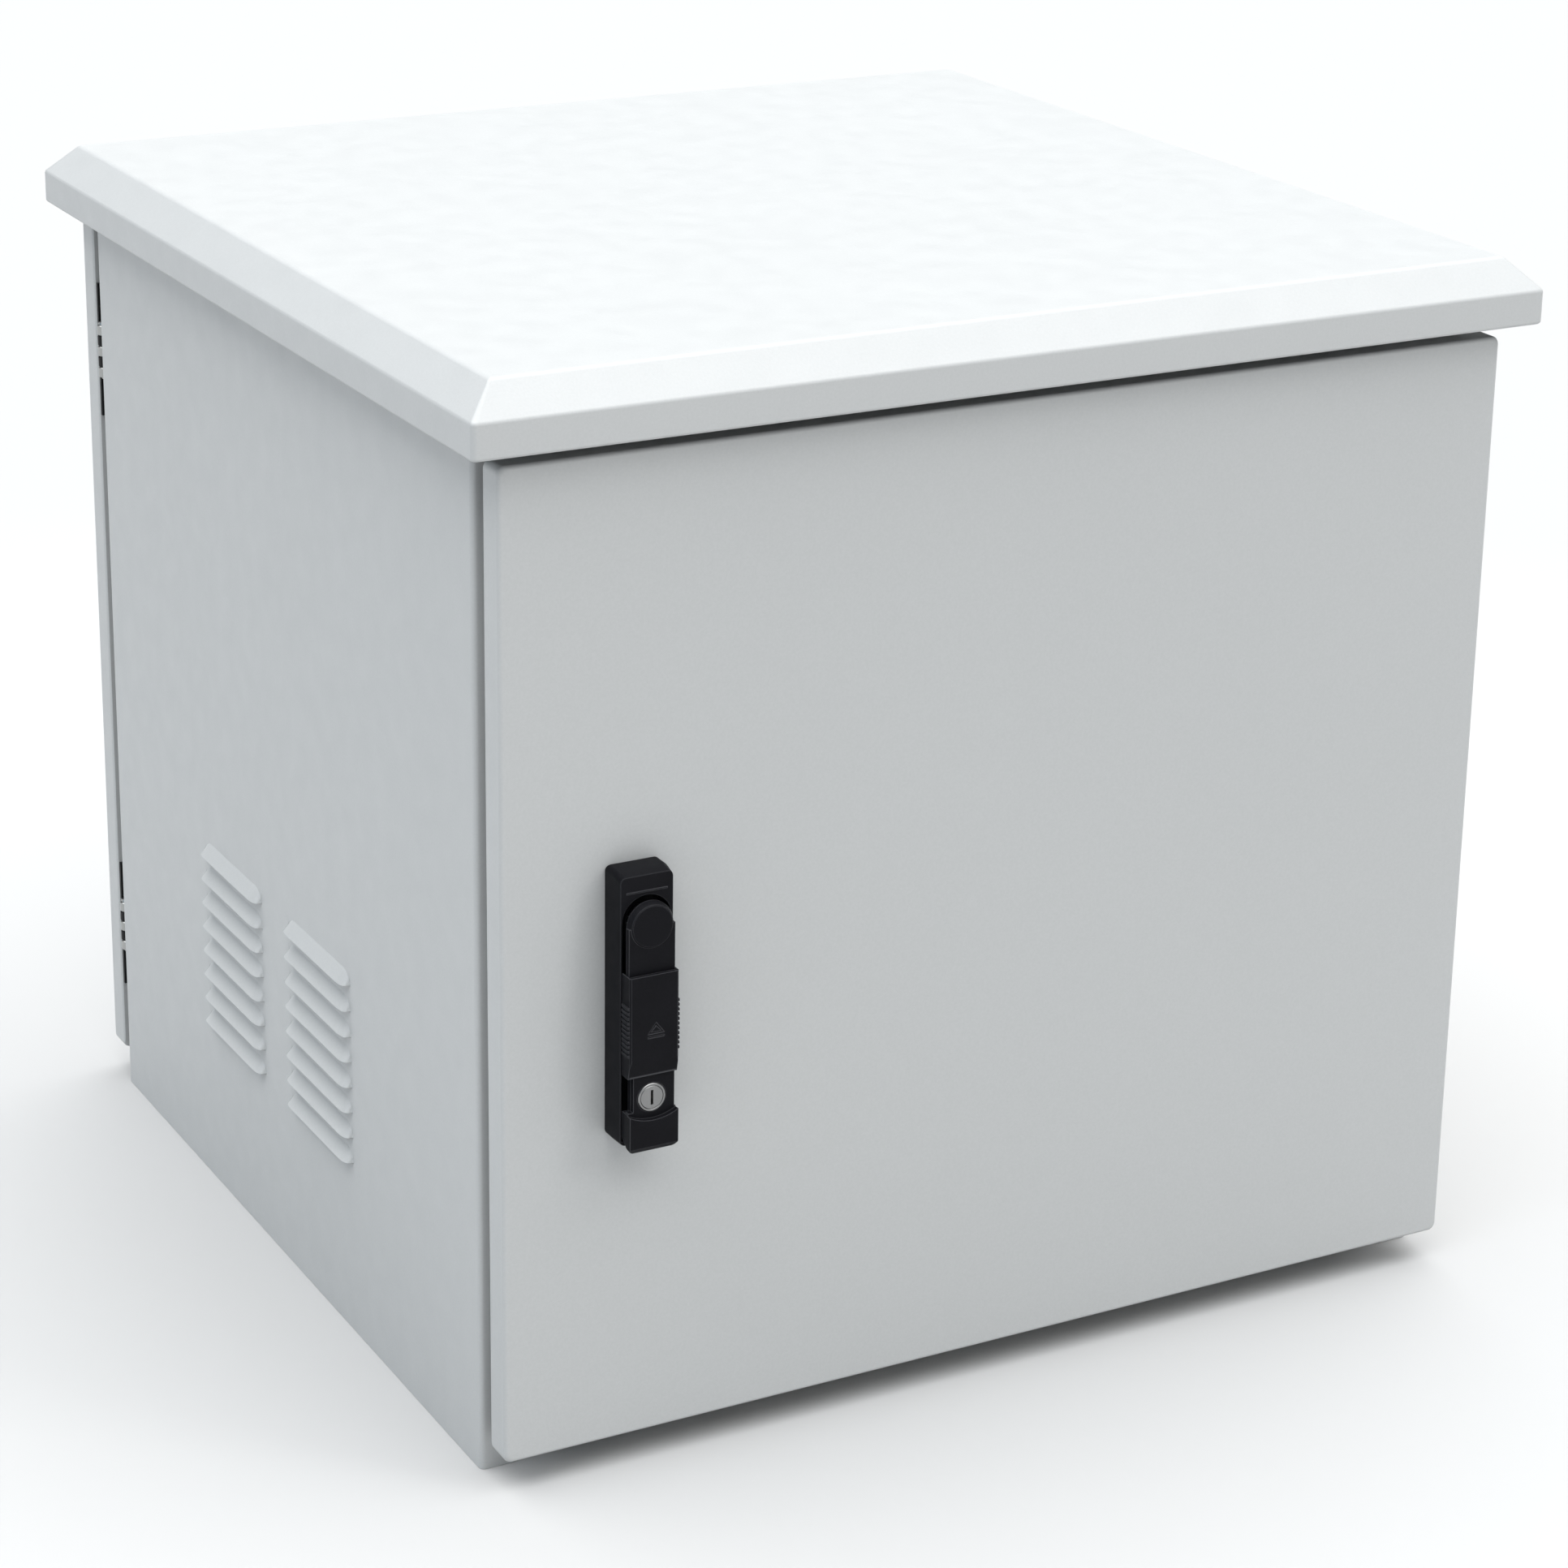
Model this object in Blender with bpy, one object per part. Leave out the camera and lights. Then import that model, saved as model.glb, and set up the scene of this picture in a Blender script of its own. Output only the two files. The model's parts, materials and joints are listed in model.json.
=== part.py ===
"""Outdoor battery cabinet: sheet-steel body, canopy roof, front and rear overlay doors,
louvred sides, two battery shelves and a black swing handle with a sliding lock cover.

Metres, +Z up. The origin is the centre of the base's underside; the front door faces -Y.
"""

import math

import bmesh
import bpy
from mathutils import Matrix, Vector

# ---------------------------------------------------------------- driving dimensions
SHEET = 0.0015              # steel sheet of the body, doors and roof
GAP = 0.0003                # clearance between neighbouring pieces

BODY_X = 0.300              # half width over the side panels
BODY_Y = 0.272              # half depth over the side panels
BODY_Z = 0.570              # height of the body under the canopy
FOLD_RADIUS = 0.003         # outer radius of a folded edge
SIDE_RETURN = 0.019         # width of the side panels' front and rear returns
PAN_FLANGE = 0.025          # flange height of the base and top pans

ROOF_Z = 0.564              # lower edge of the canopy's rim
ROOF_RIM = 0.019
ROOF_BEVEL = 0.017
ROOF_SIDE = 0.0175          # overhang past the side panels
ROOF_FRONT = 0.041          # overhang past the body's front and rear planes
ROOF_LIP = 0.008

DOOR_X = 0.299              # half width of a door
DOOR_BOTTOM = 0.0175
DOOR_TOP = 0.5565
DOOR_STANDOFF = 0.0105      # gap between the body's front plane and the door's flange
DOOR_DEPTH = 0.018          # depth of the door's folded flange
DOOR_HEM = 0.012            # inward return at the back of the flange
DOOR_CORNER = 0.0035

LIP_X = 0.280               # half width of the rain lip round an opening
LIP_Z = 0.254               # half height of the rain lip
OPENING_Z = 0.287           # centre height of the openings and doors
GASKET_WIDTH = 0.012
GASKET_THICKNESS = 0.008

LOUVRE_COUNT = 8
LOUVRE_PITCH = 0.0152
LOUVRE_TOP = 0.2193         # root of the uppermost hood
LOUVRE_HEIGHT = 0.0080
LOUVRE_DEPTH = 0.0052
LOUVRE_LENGTH = 0.089
LOUVRE_END = 0.009          # length of a hood's rounded end
LOUVRE_COLUMNS = (-0.0585, 0.0725)

HINGE_X = 0.2955            # hinge pin, beside the door's outer flange
HINGE_OFFSET = 0.0055       # hinge pin, in front of the body's front plane
HINGE_HEIGHTS = {"lower": 0.104, "upper": 0.4775}
KNUCKLE_RADIUS = 0.0042
KNUCKLE_HEIGHT = 0.0061
KNUCKLE_PITCH = 0.0065
PIN_RADIUS = 0.0024
LEAF_HEIGHT = 0.082

SHELF_HEIGHTS = {"lower": 0.060, "upper": 0.300}
SHELF_X = 0.274
SHELF_Y = 0.240
UPRIGHT_WEB = 0.276
UPRIGHT_Y = (0.200, 0.230)

HANDLE_X = -0.2267          # centre line of the swing handle
HANDLE_BOTTOM = 0.1945
HANDLE_TOP = 0.3425
HANDLE_HALF = 0.0152
BOSS_Z = 0.3155             # spindle height
LOCK_Z = 0.222              # lock cylinder height
HANDLE_STUD_Z = (0.334, 0.204)
CHANNEL_HALF = 0.0140       # half width of the recess in the handle's base
RIM_HEIGHT = 0.0173         # base rim above the door's face
ARM_HALF = 0.0129
ARM_FRONT = 0.0234
LIFT_HEIGHT = 0.016         # lever pivot pin above the door's face
TIP_FRONT = 0.0268

REAR_LOCK_X = 0.236
CAM_BACK = -0.287           # side of the front latch cam that faces the cabinet's inside
CAM_THICKNESS = 0.003
CAM_TIP = 0.2752            # the cam's nose, just inside the rain lip
REAR_LOCK_BACK = -CAM_BACK + CAM_THICKNESS + GAP

GLAND_Y = 0.190             # cable entry plate in the base
GROMMET_X = (-0.055, 0.055)
ROOF_BOLT_X = 0.240
ROOF_BOLT_Y = 0.200

DOOR_BACK = BODY_Y + DOOR_STANDOFF          # back of the door's hem
DOOR_FACE = DOOR_BACK + DOOR_DEPTH          # outer face of the door
DOOR_INNER = DOOR_FACE - SHEET
HALF_TURN = Matrix.Rotation(math.pi, 4, "Z")


# ---------------------------------------------------------------- scene and materials
def clear_scene():
    for old in list(bpy.data.objects):
        bpy.data.objects.remove(old, do_unlink=True)


def make_material(name, colour, roughness, metallic):
    material = bpy.data.materials.new(name)
    material.use_nodes = True
    shader = material.node_tree.nodes["Principled BSDF"]
    shader.inputs["Base Color"].default_value = (*colour, 1.0)
    shader.inputs["Roughness"].default_value = roughness
    shader.inputs["Metallic"].default_value = metallic
    return material


clear_scene()
PAINT = make_material("light_grey_paint", (0.60, 0.62, 0.62), 0.45, 0.0)
PLASTIC = make_material("black_plastic", (0.02, 0.02, 0.022), 0.5, 0.0)
RUBBER = make_material("black_rubber", (0.015, 0.015, 0.015), 0.85, 0.0)
ZINC = make_material("zinc_plate", (0.62, 0.62, 0.60), 0.35, 1.0)
DARK_STEEL = make_material("black_steel", (0.03, 0.03, 0.03), 0.5, 0.6)
LOCK_METAL = make_material("lock_metal", (0.80, 0.80, 0.79), 0.25, 1.0)
FILTER = make_material("filter_mat", (0.75, 0.76, 0.74), 0.95, 0.0)


# ---------------------------------------------------------------- mesh helpers
def finish(name, bm, material):
    """Turn a bmesh into a named object with outward faces."""
    bmesh.ops.recalc_face_normals(bm, faces=bm.faces)
    mesh = bpy.data.meshes.new(name)
    bm.to_mesh(mesh)
    bm.free()
    mesh.materials.append(material)
    obj = bpy.data.objects.new(name, mesh)
    bpy.context.collection.objects.link(obj)
    return obj


def add_loops(bm, loops, ring=False):
    """Bridge loops of equal length, capping both ends or closing them into a ring."""
    rows = [[bm.verts.new(point) for point in loop] for loop in loops]
    pairs = list(zip(rows, rows[1:]))
    if ring:
        pairs.append((rows[-1], rows[0]))
    else:
        bm.faces.new(rows[0])
        bm.faces.new(rows[-1])
    count = len(rows[0])
    for near, far in pairs:
        for i in range(count):
            j = (i + 1) % count
            bm.faces.new((near[i], near[j], far[j], far[i]))


def from_loops(name, loops, material, ring=False):
    bm = bmesh.new()
    add_loops(bm, loops, ring)
    return finish(name, bm, material)


def from_many(name, stacks, material):
    """One tool for combine, holding several separate shapes, each given as a list of loops."""
    bm = bmesh.new()
    for loops in stacks:
        add_loops(bm, loops)
    return finish(name, bm, material)


def rounded_rect(half_u, half_v, radius, segments=3):
    """Anticlockwise outline of a rounded rectangle about the origin."""
    points = []
    for corner, (side_u, side_v) in enumerate(((1, 1), (-1, 1), (-1, -1), (1, -1))):
        for step in range(segments + 1):
            angle = math.pi / 2 * (corner + step / segments)
            u = side_u * (half_u - radius) + radius * math.cos(angle)
            v = side_v * (half_v - radius) + radius * math.sin(angle)
            points.append((u, v))
    return points


def circle(radius, segments):
    return [(radius * math.cos(math.tau * i / segments), radius * math.sin(math.tau * i / segments))
            for i in range(segments)]


def along_x(points, x, y, z):
    return [(x, y + u, z + v) for u, v in points]


def along_y(points, x, y, z):
    return [(x + u, y, z + v) for u, v in points]


def along_z(points, x, y, z):
    return [(x + u, y + v, z) for u, v in points]


def box_loops(low, high):
    corners = ((low[0], low[1]), (high[0], low[1]), (high[0], high[1]), (low[0], high[1]))
    return [[(x, y, low[2]) for x, y in corners], [(x, y, high[2]) for x, y in corners]]


def turned(place, centre, steps, segments):
    """Loops of a turned piece: steps are (radius, level) pairs along the placing axis."""
    x, y, z = centre
    loops = []
    for radius, level in steps:
        outline = circle(radius, segments)
        if place is along_x:
            loops.append(place(outline, x + level, y, z))
        elif place is along_y:
            loops.append(place(outline, x, y + level, z))
        else:
            loops.append(place(outline, x, y, z + level))
    return loops


def fold_outline(corners, thickness, radius, segments=3):
    """Outline of a folded sheet whose outer face follows corners, all turning left."""
    outer = []
    inner = []
    points = [Vector(corner) for corner in corners]
    directions = [(b - a).normalized() for a, b in zip(points, points[1:])]
    normals = [Vector((-d.y, d.x)) for d in directions]
    outer.append(points[0])
    inner.append(points[0] + normals[0] * thickness)
    for corner, before, after in zip(points[1:], normals, normals[1:]):
        centre = corner + (before + after) / (1 + before.dot(after)) * radius
        for step in range(segments + 1):
            blend = before.lerp(after, step / segments).normalized()
            outer.append(centre - blend * radius)
            inner.append(centre - blend * (radius - thickness))
    outer.append(points[-1])
    inner.append(points[-1] + normals[-1] * thickness)
    return [tuple(p) for p in outer + inner[::-1]]


def combine(target, tool, operation):
    """Join tool to target, or cut it away, and leave one plain mesh."""
    modifier = target.modifiers.new("combine", "BOOLEAN")
    modifier.operation = operation
    modifier.solver = "EXACT"
    modifier.object = tool
    graph = bpy.context.evaluated_depsgraph_get()
    result = bpy.data.meshes.new_from_object(target.evaluated_get(graph))
    target.modifiers.clear()
    target.data = result
    bpy.data.objects.remove(tool, do_unlink=True)


def cut(target, stacks):
    combine(target, from_many("cutter", stacks, PAINT), "DIFFERENCE")


def join(target, stacks):
    combine(target, from_many("addition", stacks, PAINT), "UNION")


def smooth(obj, angle=35):
    obj.data.shade_smooth()
    obj.data.set_sharp_from_angle(angle=math.radians(angle))


def turn_to_rear(obj):
    """Turn a front piece half a turn about the cabinet's centre line."""
    obj.data.transform(HALF_TURN)


def mirror_to_right(obj):
    obj.data.transform(Matrix.Scale(-1, 4, (1, 0, 0)))
    obj.data.flip_normals()


def make_pivot(name, location, parent=None):
    """An empty on a joint axis; pieces hung on it keep their world coordinates."""
    pivot = bpy.data.objects.new(name, None)
    bpy.context.collection.objects.link(pivot)
    pivot.location = location
    if parent is not None:
        pivot.parent = parent
        pivot.matrix_parent_inverse = Matrix.Translation(-world_location(parent))
    return pivot


def world_location(pivot):
    return Vector(pivot.location)


def hang(pivot, *pieces):
    for piece in pieces:
        piece.parent = pivot
        piece.matrix_parent_inverse = Matrix.Translation(-world_location(pivot))


# ---------------------------------------------------------------- body
def louvre_hood(centre_y, top_z):
    """Pressed hood, open below: a flat slope that shrinks towards both ends."""
    bottom_z = top_z - LOUVRE_HEIGHT
    half = LOUVRE_LENGTH / 2
    root = 0.0008
    stations = ((-half, 0.12), (LOUVRE_END * 0.3 - half, 0.7), (LOUVRE_END - half, 1.0),
                (half - LOUVRE_END, 1.0), (half - LOUVRE_END * 0.3, 0.7), (half, 0.12))
    loops = []
    for offset, scale in stations:
        root_z = bottom_z + LOUVRE_HEIGHT * scale
        depth = LOUVRE_DEPTH * scale
        wall = SHEET * scale
        section = ((-root, root_z), (0.0, root_z), (depth, bottom_z),
                   (depth - wall * 1.2, bottom_z), (-root, root_z - wall * 1.8))
        loops.append([(-BODY_X - out, centre_y + offset, z) for out, z in section])
    return loops


def louvre_slot(centre_y, top_z):
    """The way from under the hood's lip into the body."""
    edge_z = top_z - LOUVRE_HEIGHT
    half = LOUVRE_LENGTH / 2 - LOUVRE_END * 0.6
    return box_loops((-BODY_X - 0.0001, centre_y - half, edge_z),
                     (-BODY_X + SHEET * 2, centre_y + half, edge_z + 0.0038))


def make_side_panel(name):
    """C-shaped side: folded returns front and rear, two columns of pressed louvres."""
    corners = ((SIDE_RETURN - BODY_X, BODY_Y), (-BODY_X, BODY_Y),
               (-BODY_X, -BODY_Y), (SIDE_RETURN - BODY_X, -BODY_Y))
    outline = fold_outline(corners, SHEET, FOLD_RADIUS)
    loops = [[(x, y, z) for x, y in outline] for z in (0.0, BODY_Z)]
    panel = from_loops(name, loops, PAINT)
    tops = [LOUVRE_TOP - LOUVRE_PITCH * i for i in range(LOUVRE_COUNT)]
    places = [(column, top) for column in LOUVRE_COLUMNS for top in tops]
    join(panel, [louvre_hood(column, top) for column, top in places])
    cut(panel, [louvre_slot(column, top) for column, top in places])
    return panel


def make_pan(name, base_z, rim_z):
    """Shallow folded pan: a plate at base_z with flanges up or down to rim_z."""
    half_x = BODY_X - SHEET - GAP
    half_y = BODY_Y - SHEET - GAP
    inward = math.copysign(SHEET, rim_z - base_z)
    outer = rounded_rect(half_x, half_y, 0.002, 1)
    inner = rounded_rect(half_x - SHEET, half_y - SHEET, 0.001, 1)
    return from_loops(name, [along_z(outer, 0, 0, base_z), along_z(outer, 0, 0, rim_z),
                             along_z(inner, 0, 0, rim_z), along_z(inner, 0, 0, base_z + inward)], PAINT)


def make_base():
    base = make_pan("base_pan", 0.0, PAN_FLANGE)
    cut(base, [box_loops((-0.115, GLAND_Y - 0.043, -0.001), (0.115, GLAND_Y + 0.043, 0.004))])

    bottom = SHEET + GAP
    plate = from_loops("gland_plate", [along_z(rounded_rect(0.135, 0.063, 0.004, 1), 0, GLAND_Y, z)
                                       for z in (bottom, bottom + 0.002)], ZINC)
    cut(plate, [turned(along_z, (x, GLAND_Y, 0), ((0.0240, 0.001), (0.0240, 0.005)), 20) for x in GROMMET_X])

    profile = ((0.0255, 0.0004), (0.0255, 0.0015), (0.0232, 0.0015), (0.0232, 0.0041),
               (0.0275, 0.0041), (0.0275, 0.0056), (0.0150, 0.0095))
    for x, word in zip(GROMMET_X, ("left", "right")):
        smooth(from_loops("cable_grommet_" + word, turned(along_z, (x, GLAND_Y, 0), profile, 20), RUBBER))


def make_roof():
    """Hollow canopy: flat top, bevel, vertical rim and an inward lip along its lower edge."""
    half_x = BODY_X + ROOF_SIDE
    half_y = BODY_Y + ROOF_FRONT
    rim_top = ROOF_Z + ROOF_RIM
    top = rim_top + ROOF_BEVEL
    bevel_slip = SHEET * (math.sqrt(2) - 1)
    levels = (
        (ROOF_BEVEL, 0.0008, top),
        (0.0, 0.0025, rim_top),
        (0.0, 0.0025, ROOF_Z),
        (ROOF_LIP, 0.0020, ROOF_Z),
        (ROOF_LIP, 0.0020, ROOF_Z + SHEET),
        (SHEET, 0.0012, ROOF_Z + SHEET),
        (SHEET, 0.0012, rim_top - bevel_slip),
        (ROOF_BEVEL + bevel_slip, 0.0006, top - SHEET),
    )
    from_loops("roof_canopy", [along_z(rounded_rect(half_x - inset, half_y - inset, radius, 2), 0, 0, z)
                               for inset, radius, z in levels], PAINT)


def make_top():
    top = make_pan("body_top", BODY_Z, BODY_Z - PAN_FLANGE)
    cut(top, [turned(along_z, (x, y, BODY_Z), ((0.0046, -0.004), (0.0046, 0.004)), 12)
              for x in (-ROOF_BOLT_X, ROOF_BOLT_X) for y in (-ROOF_BOLT_Y, ROOF_BOLT_Y)])

    low = BODY_Z + GAP
    high = ROOF_Z + ROOF_RIM + ROOF_BEVEL - SHEET - GAP
    under = BODY_Z - SHEET - GAP
    steps = ((0.0065, under - 0.0053), (0.0065, under), (0.0040, under),
             (0.0040, low), (0.0080, low), (0.0080, high))
    for x, side in ((-ROOF_BOLT_X, "left"), (ROOF_BOLT_X, "right")):
        for y, end in ((-ROOF_BOLT_Y, "front"), (ROOF_BOLT_Y, "rear")):
            loops = turned(along_z, (x, y, 0), steps, 12)
            smooth(from_loops("roof_standoff_" + side + "_" + end, loops, ZINC))


def make_opening_frame(name, rear):
    """Ring behind the body's returns that carries the rain lip for a door's gasket."""
    flange_front = -(BODY_Y - 2 * SHEET - 2 * GAP)
    flange_back = flange_front + SHEET
    lip_tip = -(DOOR_INNER - GASKET_THICKNESS - GAP)
    flange_x = LIP_X + 0.016
    flange_z = LIP_Z + 0.016
    section = (
        (flange_x, flange_z, 0.001, flange_front),
        (LIP_X, LIP_Z, 0.006, flange_front),
        (LIP_X, LIP_Z, 0.006, lip_tip),
        (LIP_X - SHEET, LIP_Z - SHEET, 0.0045, lip_tip),
        (LIP_X - SHEET, LIP_Z - SHEET, 0.0045, flange_back),
        (flange_x, flange_z, 0.001, flange_back),
    )
    frame = from_loops(name, [along_y(rounded_rect(u, v, radius, 2), 0, y, OPENING_Z)
                              for u, v, radius, y in section], PAINT, ring=True)
    if rear:
        turn_to_rear(frame)


def make_upright(name, side, end):
    """Perforated C-channel against a side panel; its web carries the shelf rails."""
    near, far = UPRIGHT_Y
    depth = BODY_X - 2 * SHEET - 2 * GAP - 0.0003
    corners = ((depth, near), (UPRIGHT_WEB, near), (UPRIGHT_WEB, far), (depth, far))
    outline = fold_outline(tuple((x, -y) for x, y in corners), SHEET, 0.0022, 1)
    bottom = SHEET + GAP
    loops = [[(side * x, -end * y, z) for x, y in outline] for z in (bottom, BODY_Z - bottom)]
    upright = from_loops(name, loops, ZINC)
    web = side * (UPRIGHT_WEB + SHEET / 2)
    middle = end * (near + far) / 2
    half = 0.0045
    holes = [box_loops((web - 0.002, middle - half, z - half), (web + 0.002, middle + half, z + half))
             for z in (SHELF_HEIGHTS["lower"] - 0.018 + 0.048 * i for i in range(11))]
    cut(upright, holes)


def make_shelf(level, height):
    """Shelf plate with downturned front and rear edges, on two side rails."""
    top = height + 0.0023
    drop = 0.022
    corners = ((SHELF_Y, top - drop), (SHELF_Y, top), (-SHELF_Y, top), (-SHELF_Y, top - drop))
    outline = fold_outline(corners, 0.002, 0.003, 2)
    loops = [[(x, y, z) for y, z in outline] for x in (-SHELF_X, SHELF_X)]
    shelf = from_loops(level + "_shelf", loops, PAINT)
    slots = [box_loops((x - 0.0035, y - 0.040, height - 0.003), (x + 0.0035, y + 0.040, height + 0.006))
             for x in (-0.200, -0.120, -0.040, 0.040, 0.120, 0.200) for y in (-0.120, 0.120)]
    cut(shelf, slots)

    rail_x = UPRIGHT_WEB - GAP
    rail_corners = ((0.030 - rail_x, height), (-rail_x, height), (-rail_x, height - 0.032))
    section = fold_outline(rail_corners, SHEET, 0.0025, 1)
    bolt_z = height - 0.018
    bolt_y = sum(UPRIGHT_Y) / 2
    for side, word in ((-1, "left"), (1, "right")):
        rail = from_loops(level + "_shelf_rail_" + word,
                          [[(-side * x, y, z) for x, z in section] for y in (-0.232, 0.232)], ZINC)
        cut(rail, [turned(along_x, (side * rail_x, y, bolt_z), ((0.0032, -0.004), (0.0032, 0.004)), 8)
                   for y in (-bolt_y, bolt_y)])


def make_filter(side, word):
    """Filter mat in a shallow frame behind a side panel's louvres."""
    inner_face = BODY_X - SHEET - GAP
    centre_y = sum(LOUVRE_COLUMNS) / 2
    centre_z = LOUVRE_TOP - LOUVRE_PITCH * LOUVRE_COUNT / 2
    half_y, half_z = 0.118, 0.068
    wall = 0.0015
    depth = 0.009
    levels = ((half_y, half_z, inner_face), (half_y, half_z, inner_face - depth),
              (half_y - 0.007, half_z - 0.007, inner_face - depth),
              (half_y - 0.007, half_z - 0.007, inner_face - depth + wall),
              (half_y - wall, half_z - wall, inner_face - depth + wall),
              (half_y - wall, half_z - wall, inner_face))
    from_loops(word + "_filter_frame", [along_x(rounded_rect(u, v, 0.001, 1), side * x, centre_y, centre_z)
                                        for u, v, x in levels], DARK_STEEL, ring=True)
    mat_y = half_y - wall - GAP
    mat_z = half_z - wall - GAP
    mat = rounded_rect(mat_y, mat_z, 0.001, 1)
    from_loops(word + "_filter_mat", [along_x(mat, side * x, centre_y, centre_z)
                                      for x in (inner_face, inner_face - depth + wall + GAP)], FILTER)


# ---------------------------------------------------------------- doors
def make_door_panel(name):
    """Folded door pan: rounded front, side flanges and an inward hem."""
    half_z = (DOOR_TOP - DOOR_BOTTOM) / 2
    radius = DOOR_CORNER
    inner_radius = DOOR_CORNER - SHEET
    fold = 0.0023
    levels = [(fold * (1 - math.sin(angle)), DOOR_FACE - fold * (1 - math.cos(angle)))
              for angle in (0.0, math.pi / 4, math.pi / 2)]
    levels += [(0.0, DOOR_BACK), (DOOR_HEM, DOOR_BACK), (DOOR_HEM, DOOR_BACK + SHEET),
               (SHEET, DOOR_BACK + SHEET), (SHEET, DOOR_INNER)]
    loops = []
    for inset, depth in levels:
        corner = inner_radius if inset > SHEET * 0.9 and depth < DOOR_FACE - SHEET / 2 else radius
        outline = rounded_rect(DOOR_X - inset, half_z - inset, corner, 3)
        loops.append(along_y(outline, 0, -depth, OPENING_Z))
    return from_loops(name, loops, PAINT)


def make_gasket(name):
    outer_x = LIP_X - SHEET / 2 + GASKET_WIDTH / 2
    outer_z = LIP_Z - SHEET / 2 + GASKET_WIDTH / 2
    front = DOOR_INNER - GAP
    back = DOOR_INNER - GASKET_THICKNESS
    section = ((0.0, front), (0.0, back + 0.001), (0.001, back), (GASKET_WIDTH - 0.001, back),
               (GASKET_WIDTH, back + 0.001), (GASKET_WIDTH, front))
    loops = [along_y(rounded_rect(outer_x - inset, outer_z - inset, 0.016 - inset, 2), 0, -depth, OPENING_Z)
             for inset, depth in section]
    return from_loops(name, loops, RUBBER, ring=True)


def make_stiffener(name):
    """Upright hat channel on the middle of the door's inner face."""
    front = -(DOOR_INNER - GAP)
    wall = 0.0012
    half = 0.014
    foot = 0.026
    depth = 0.012
    outline = ((-foot, 0.0), (wall - half, 0.0), (wall - half, depth - wall), (half - wall, depth - wall),
               (half - wall, 0.0), (foot, 0.0), (foot, wall), (half, wall), (half, depth), (-half, depth),
               (-half, wall), (-foot, wall))
    return from_loops(name, [[(x, front + y, z) for x, y in outline] for z in (0.060, 0.514)], PAINT)


def hinge_leaf(name, centre_z, axis_y, plate_y, plate_far, levels):
    """Leaf plate joined to its own knuckles and cut back clear of the other leaf's."""
    low = (plate_far, plate_y[0], centre_z - LEAF_HEIGHT / 2)
    high = (HINGE_X - 0.0002, plate_y[1], centre_z + LEAF_HEIGHT / 2)
    plate = from_loops(name, box_loops(low, high), DARK_STEEL)
    notch_x = HINGE_X - KNUCKLE_RADIUS - 0.0005
    own_half = KNUCKLE_HEIGHT / 2
    starts = [-LEAF_HEIGHT] + [level + own_half for level in levels]
    ends = [level - own_half for level in levels] + [LEAF_HEIGHT]
    cut(plate, [box_loops((notch_x, plate_y[0] - 0.01, centre_z + start),
                          (HINGE_X + 0.01, plate_y[1] + 0.01, centre_z + end))
                for start, end in zip(starts, ends)])
    knuckles = [turned(along_z, (HINGE_X, axis_y, centre_z + level),
                       ((KNUCKLE_RADIUS, -own_half), (KNUCKLE_RADIUS, own_half)), 16) for level in levels]
    join(plate, knuckles)
    cut(plate, [turned(along_z, (HINGE_X, axis_y, centre_z), ((0.00265, -0.03), (0.00265, 0.03)), 16)])
    smooth(plate, 30)
    return plate


def make_hinge(door, level, centre_z, rear):
    """Five-knuckle butt hinge: the frame's leaf, and the door's leaf, which is returned."""
    axis_y = -(BODY_Y + HINGE_OFFSET)
    frame_plate = (-(BODY_Y + GAP + 0.002), -(BODY_Y + GAP))
    door_plate = (-(DOOR_BACK - GAP), -(DOOR_BACK - GAP - 0.002))
    prefix = door + "_" + level + "_hinge_"
    frame_leaf = hinge_leaf(prefix + "frame_leaf", centre_z, axis_y, frame_plate, LIP_X + 0.0015,
                            (-2 * KNUCKLE_PITCH, 0.0, 2 * KNUCKLE_PITCH))
    door_leaf = hinge_leaf(prefix + "door_leaf", centre_z, axis_y, door_plate, LIP_X + 0.004,
                           (-KNUCKLE_PITCH, KNUCKLE_PITCH))
    if rear:
        turn_to_rear(frame_leaf)
        turn_to_rear(door_leaf)
    return door_leaf


def make_hinge_pins(door, rear):
    """Headed pin of each of a door's two hinges."""
    top = 2 * KNUCKLE_PITCH + KNUCKLE_HEIGHT / 2 + GAP
    steps = ((PIN_RADIUS, -top - 0.001), (PIN_RADIUS, top), (0.0036, top), (0.0030, top + 0.0015))
    for level, height in HINGE_HEIGHTS.items():
        pin = from_loops(door + "_" + level + "_hinge_pin",
                         turned(along_z, (HINGE_X, -(BODY_Y + HINGE_OFFSET), height), steps, 16), ZINC)
        smooth(pin)
        if rear:
            turn_to_rear(pin)


def make_door(word, rear):
    """A door with its gasket, stiffener and the door-side hinge leaves."""
    panel = make_door_panel(word + "_door_panel")
    gasket = make_gasket(word + "_door_gasket")
    stiffener = make_stiffener(word + "_door_stiffener")
    if rear:
        for piece in (panel, gasket, stiffener):
            turn_to_rear(piece)
    side = -1 if rear else 1
    pivot = make_pivot(word + "_door_axis", (side * HINGE_X, -side * (BODY_Y + HINGE_OFFSET), 0.0))
    hang(pivot, panel, gasket, stiffener)
    for level, height in HINGE_HEIGHTS.items():
        hang(pivot, make_hinge(word, level, height, rear))
    make_hinge_pins(word, rear)
    return pivot, panel


# ---------------------------------------------------------------- swing handle
def handle_y(height):
    """World Y of a level above the front door's outer face."""
    return -(DOOR_FACE + height)


def arch(radius, bottom, top_z, segments=16):
    """Outline in the door's plane: straight sides under a half-round top."""
    points = [(-radius, bottom), (radius, bottom)]
    points += [(radius * math.cos(math.pi * i / segments), top_z + radius * math.sin(math.pi * i / segments))
               for i in range(segments + 1)]
    return points


def at_height(points, height):
    return [(HANDLE_X + u, handle_y(height), z) for u, z in points]


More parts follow.
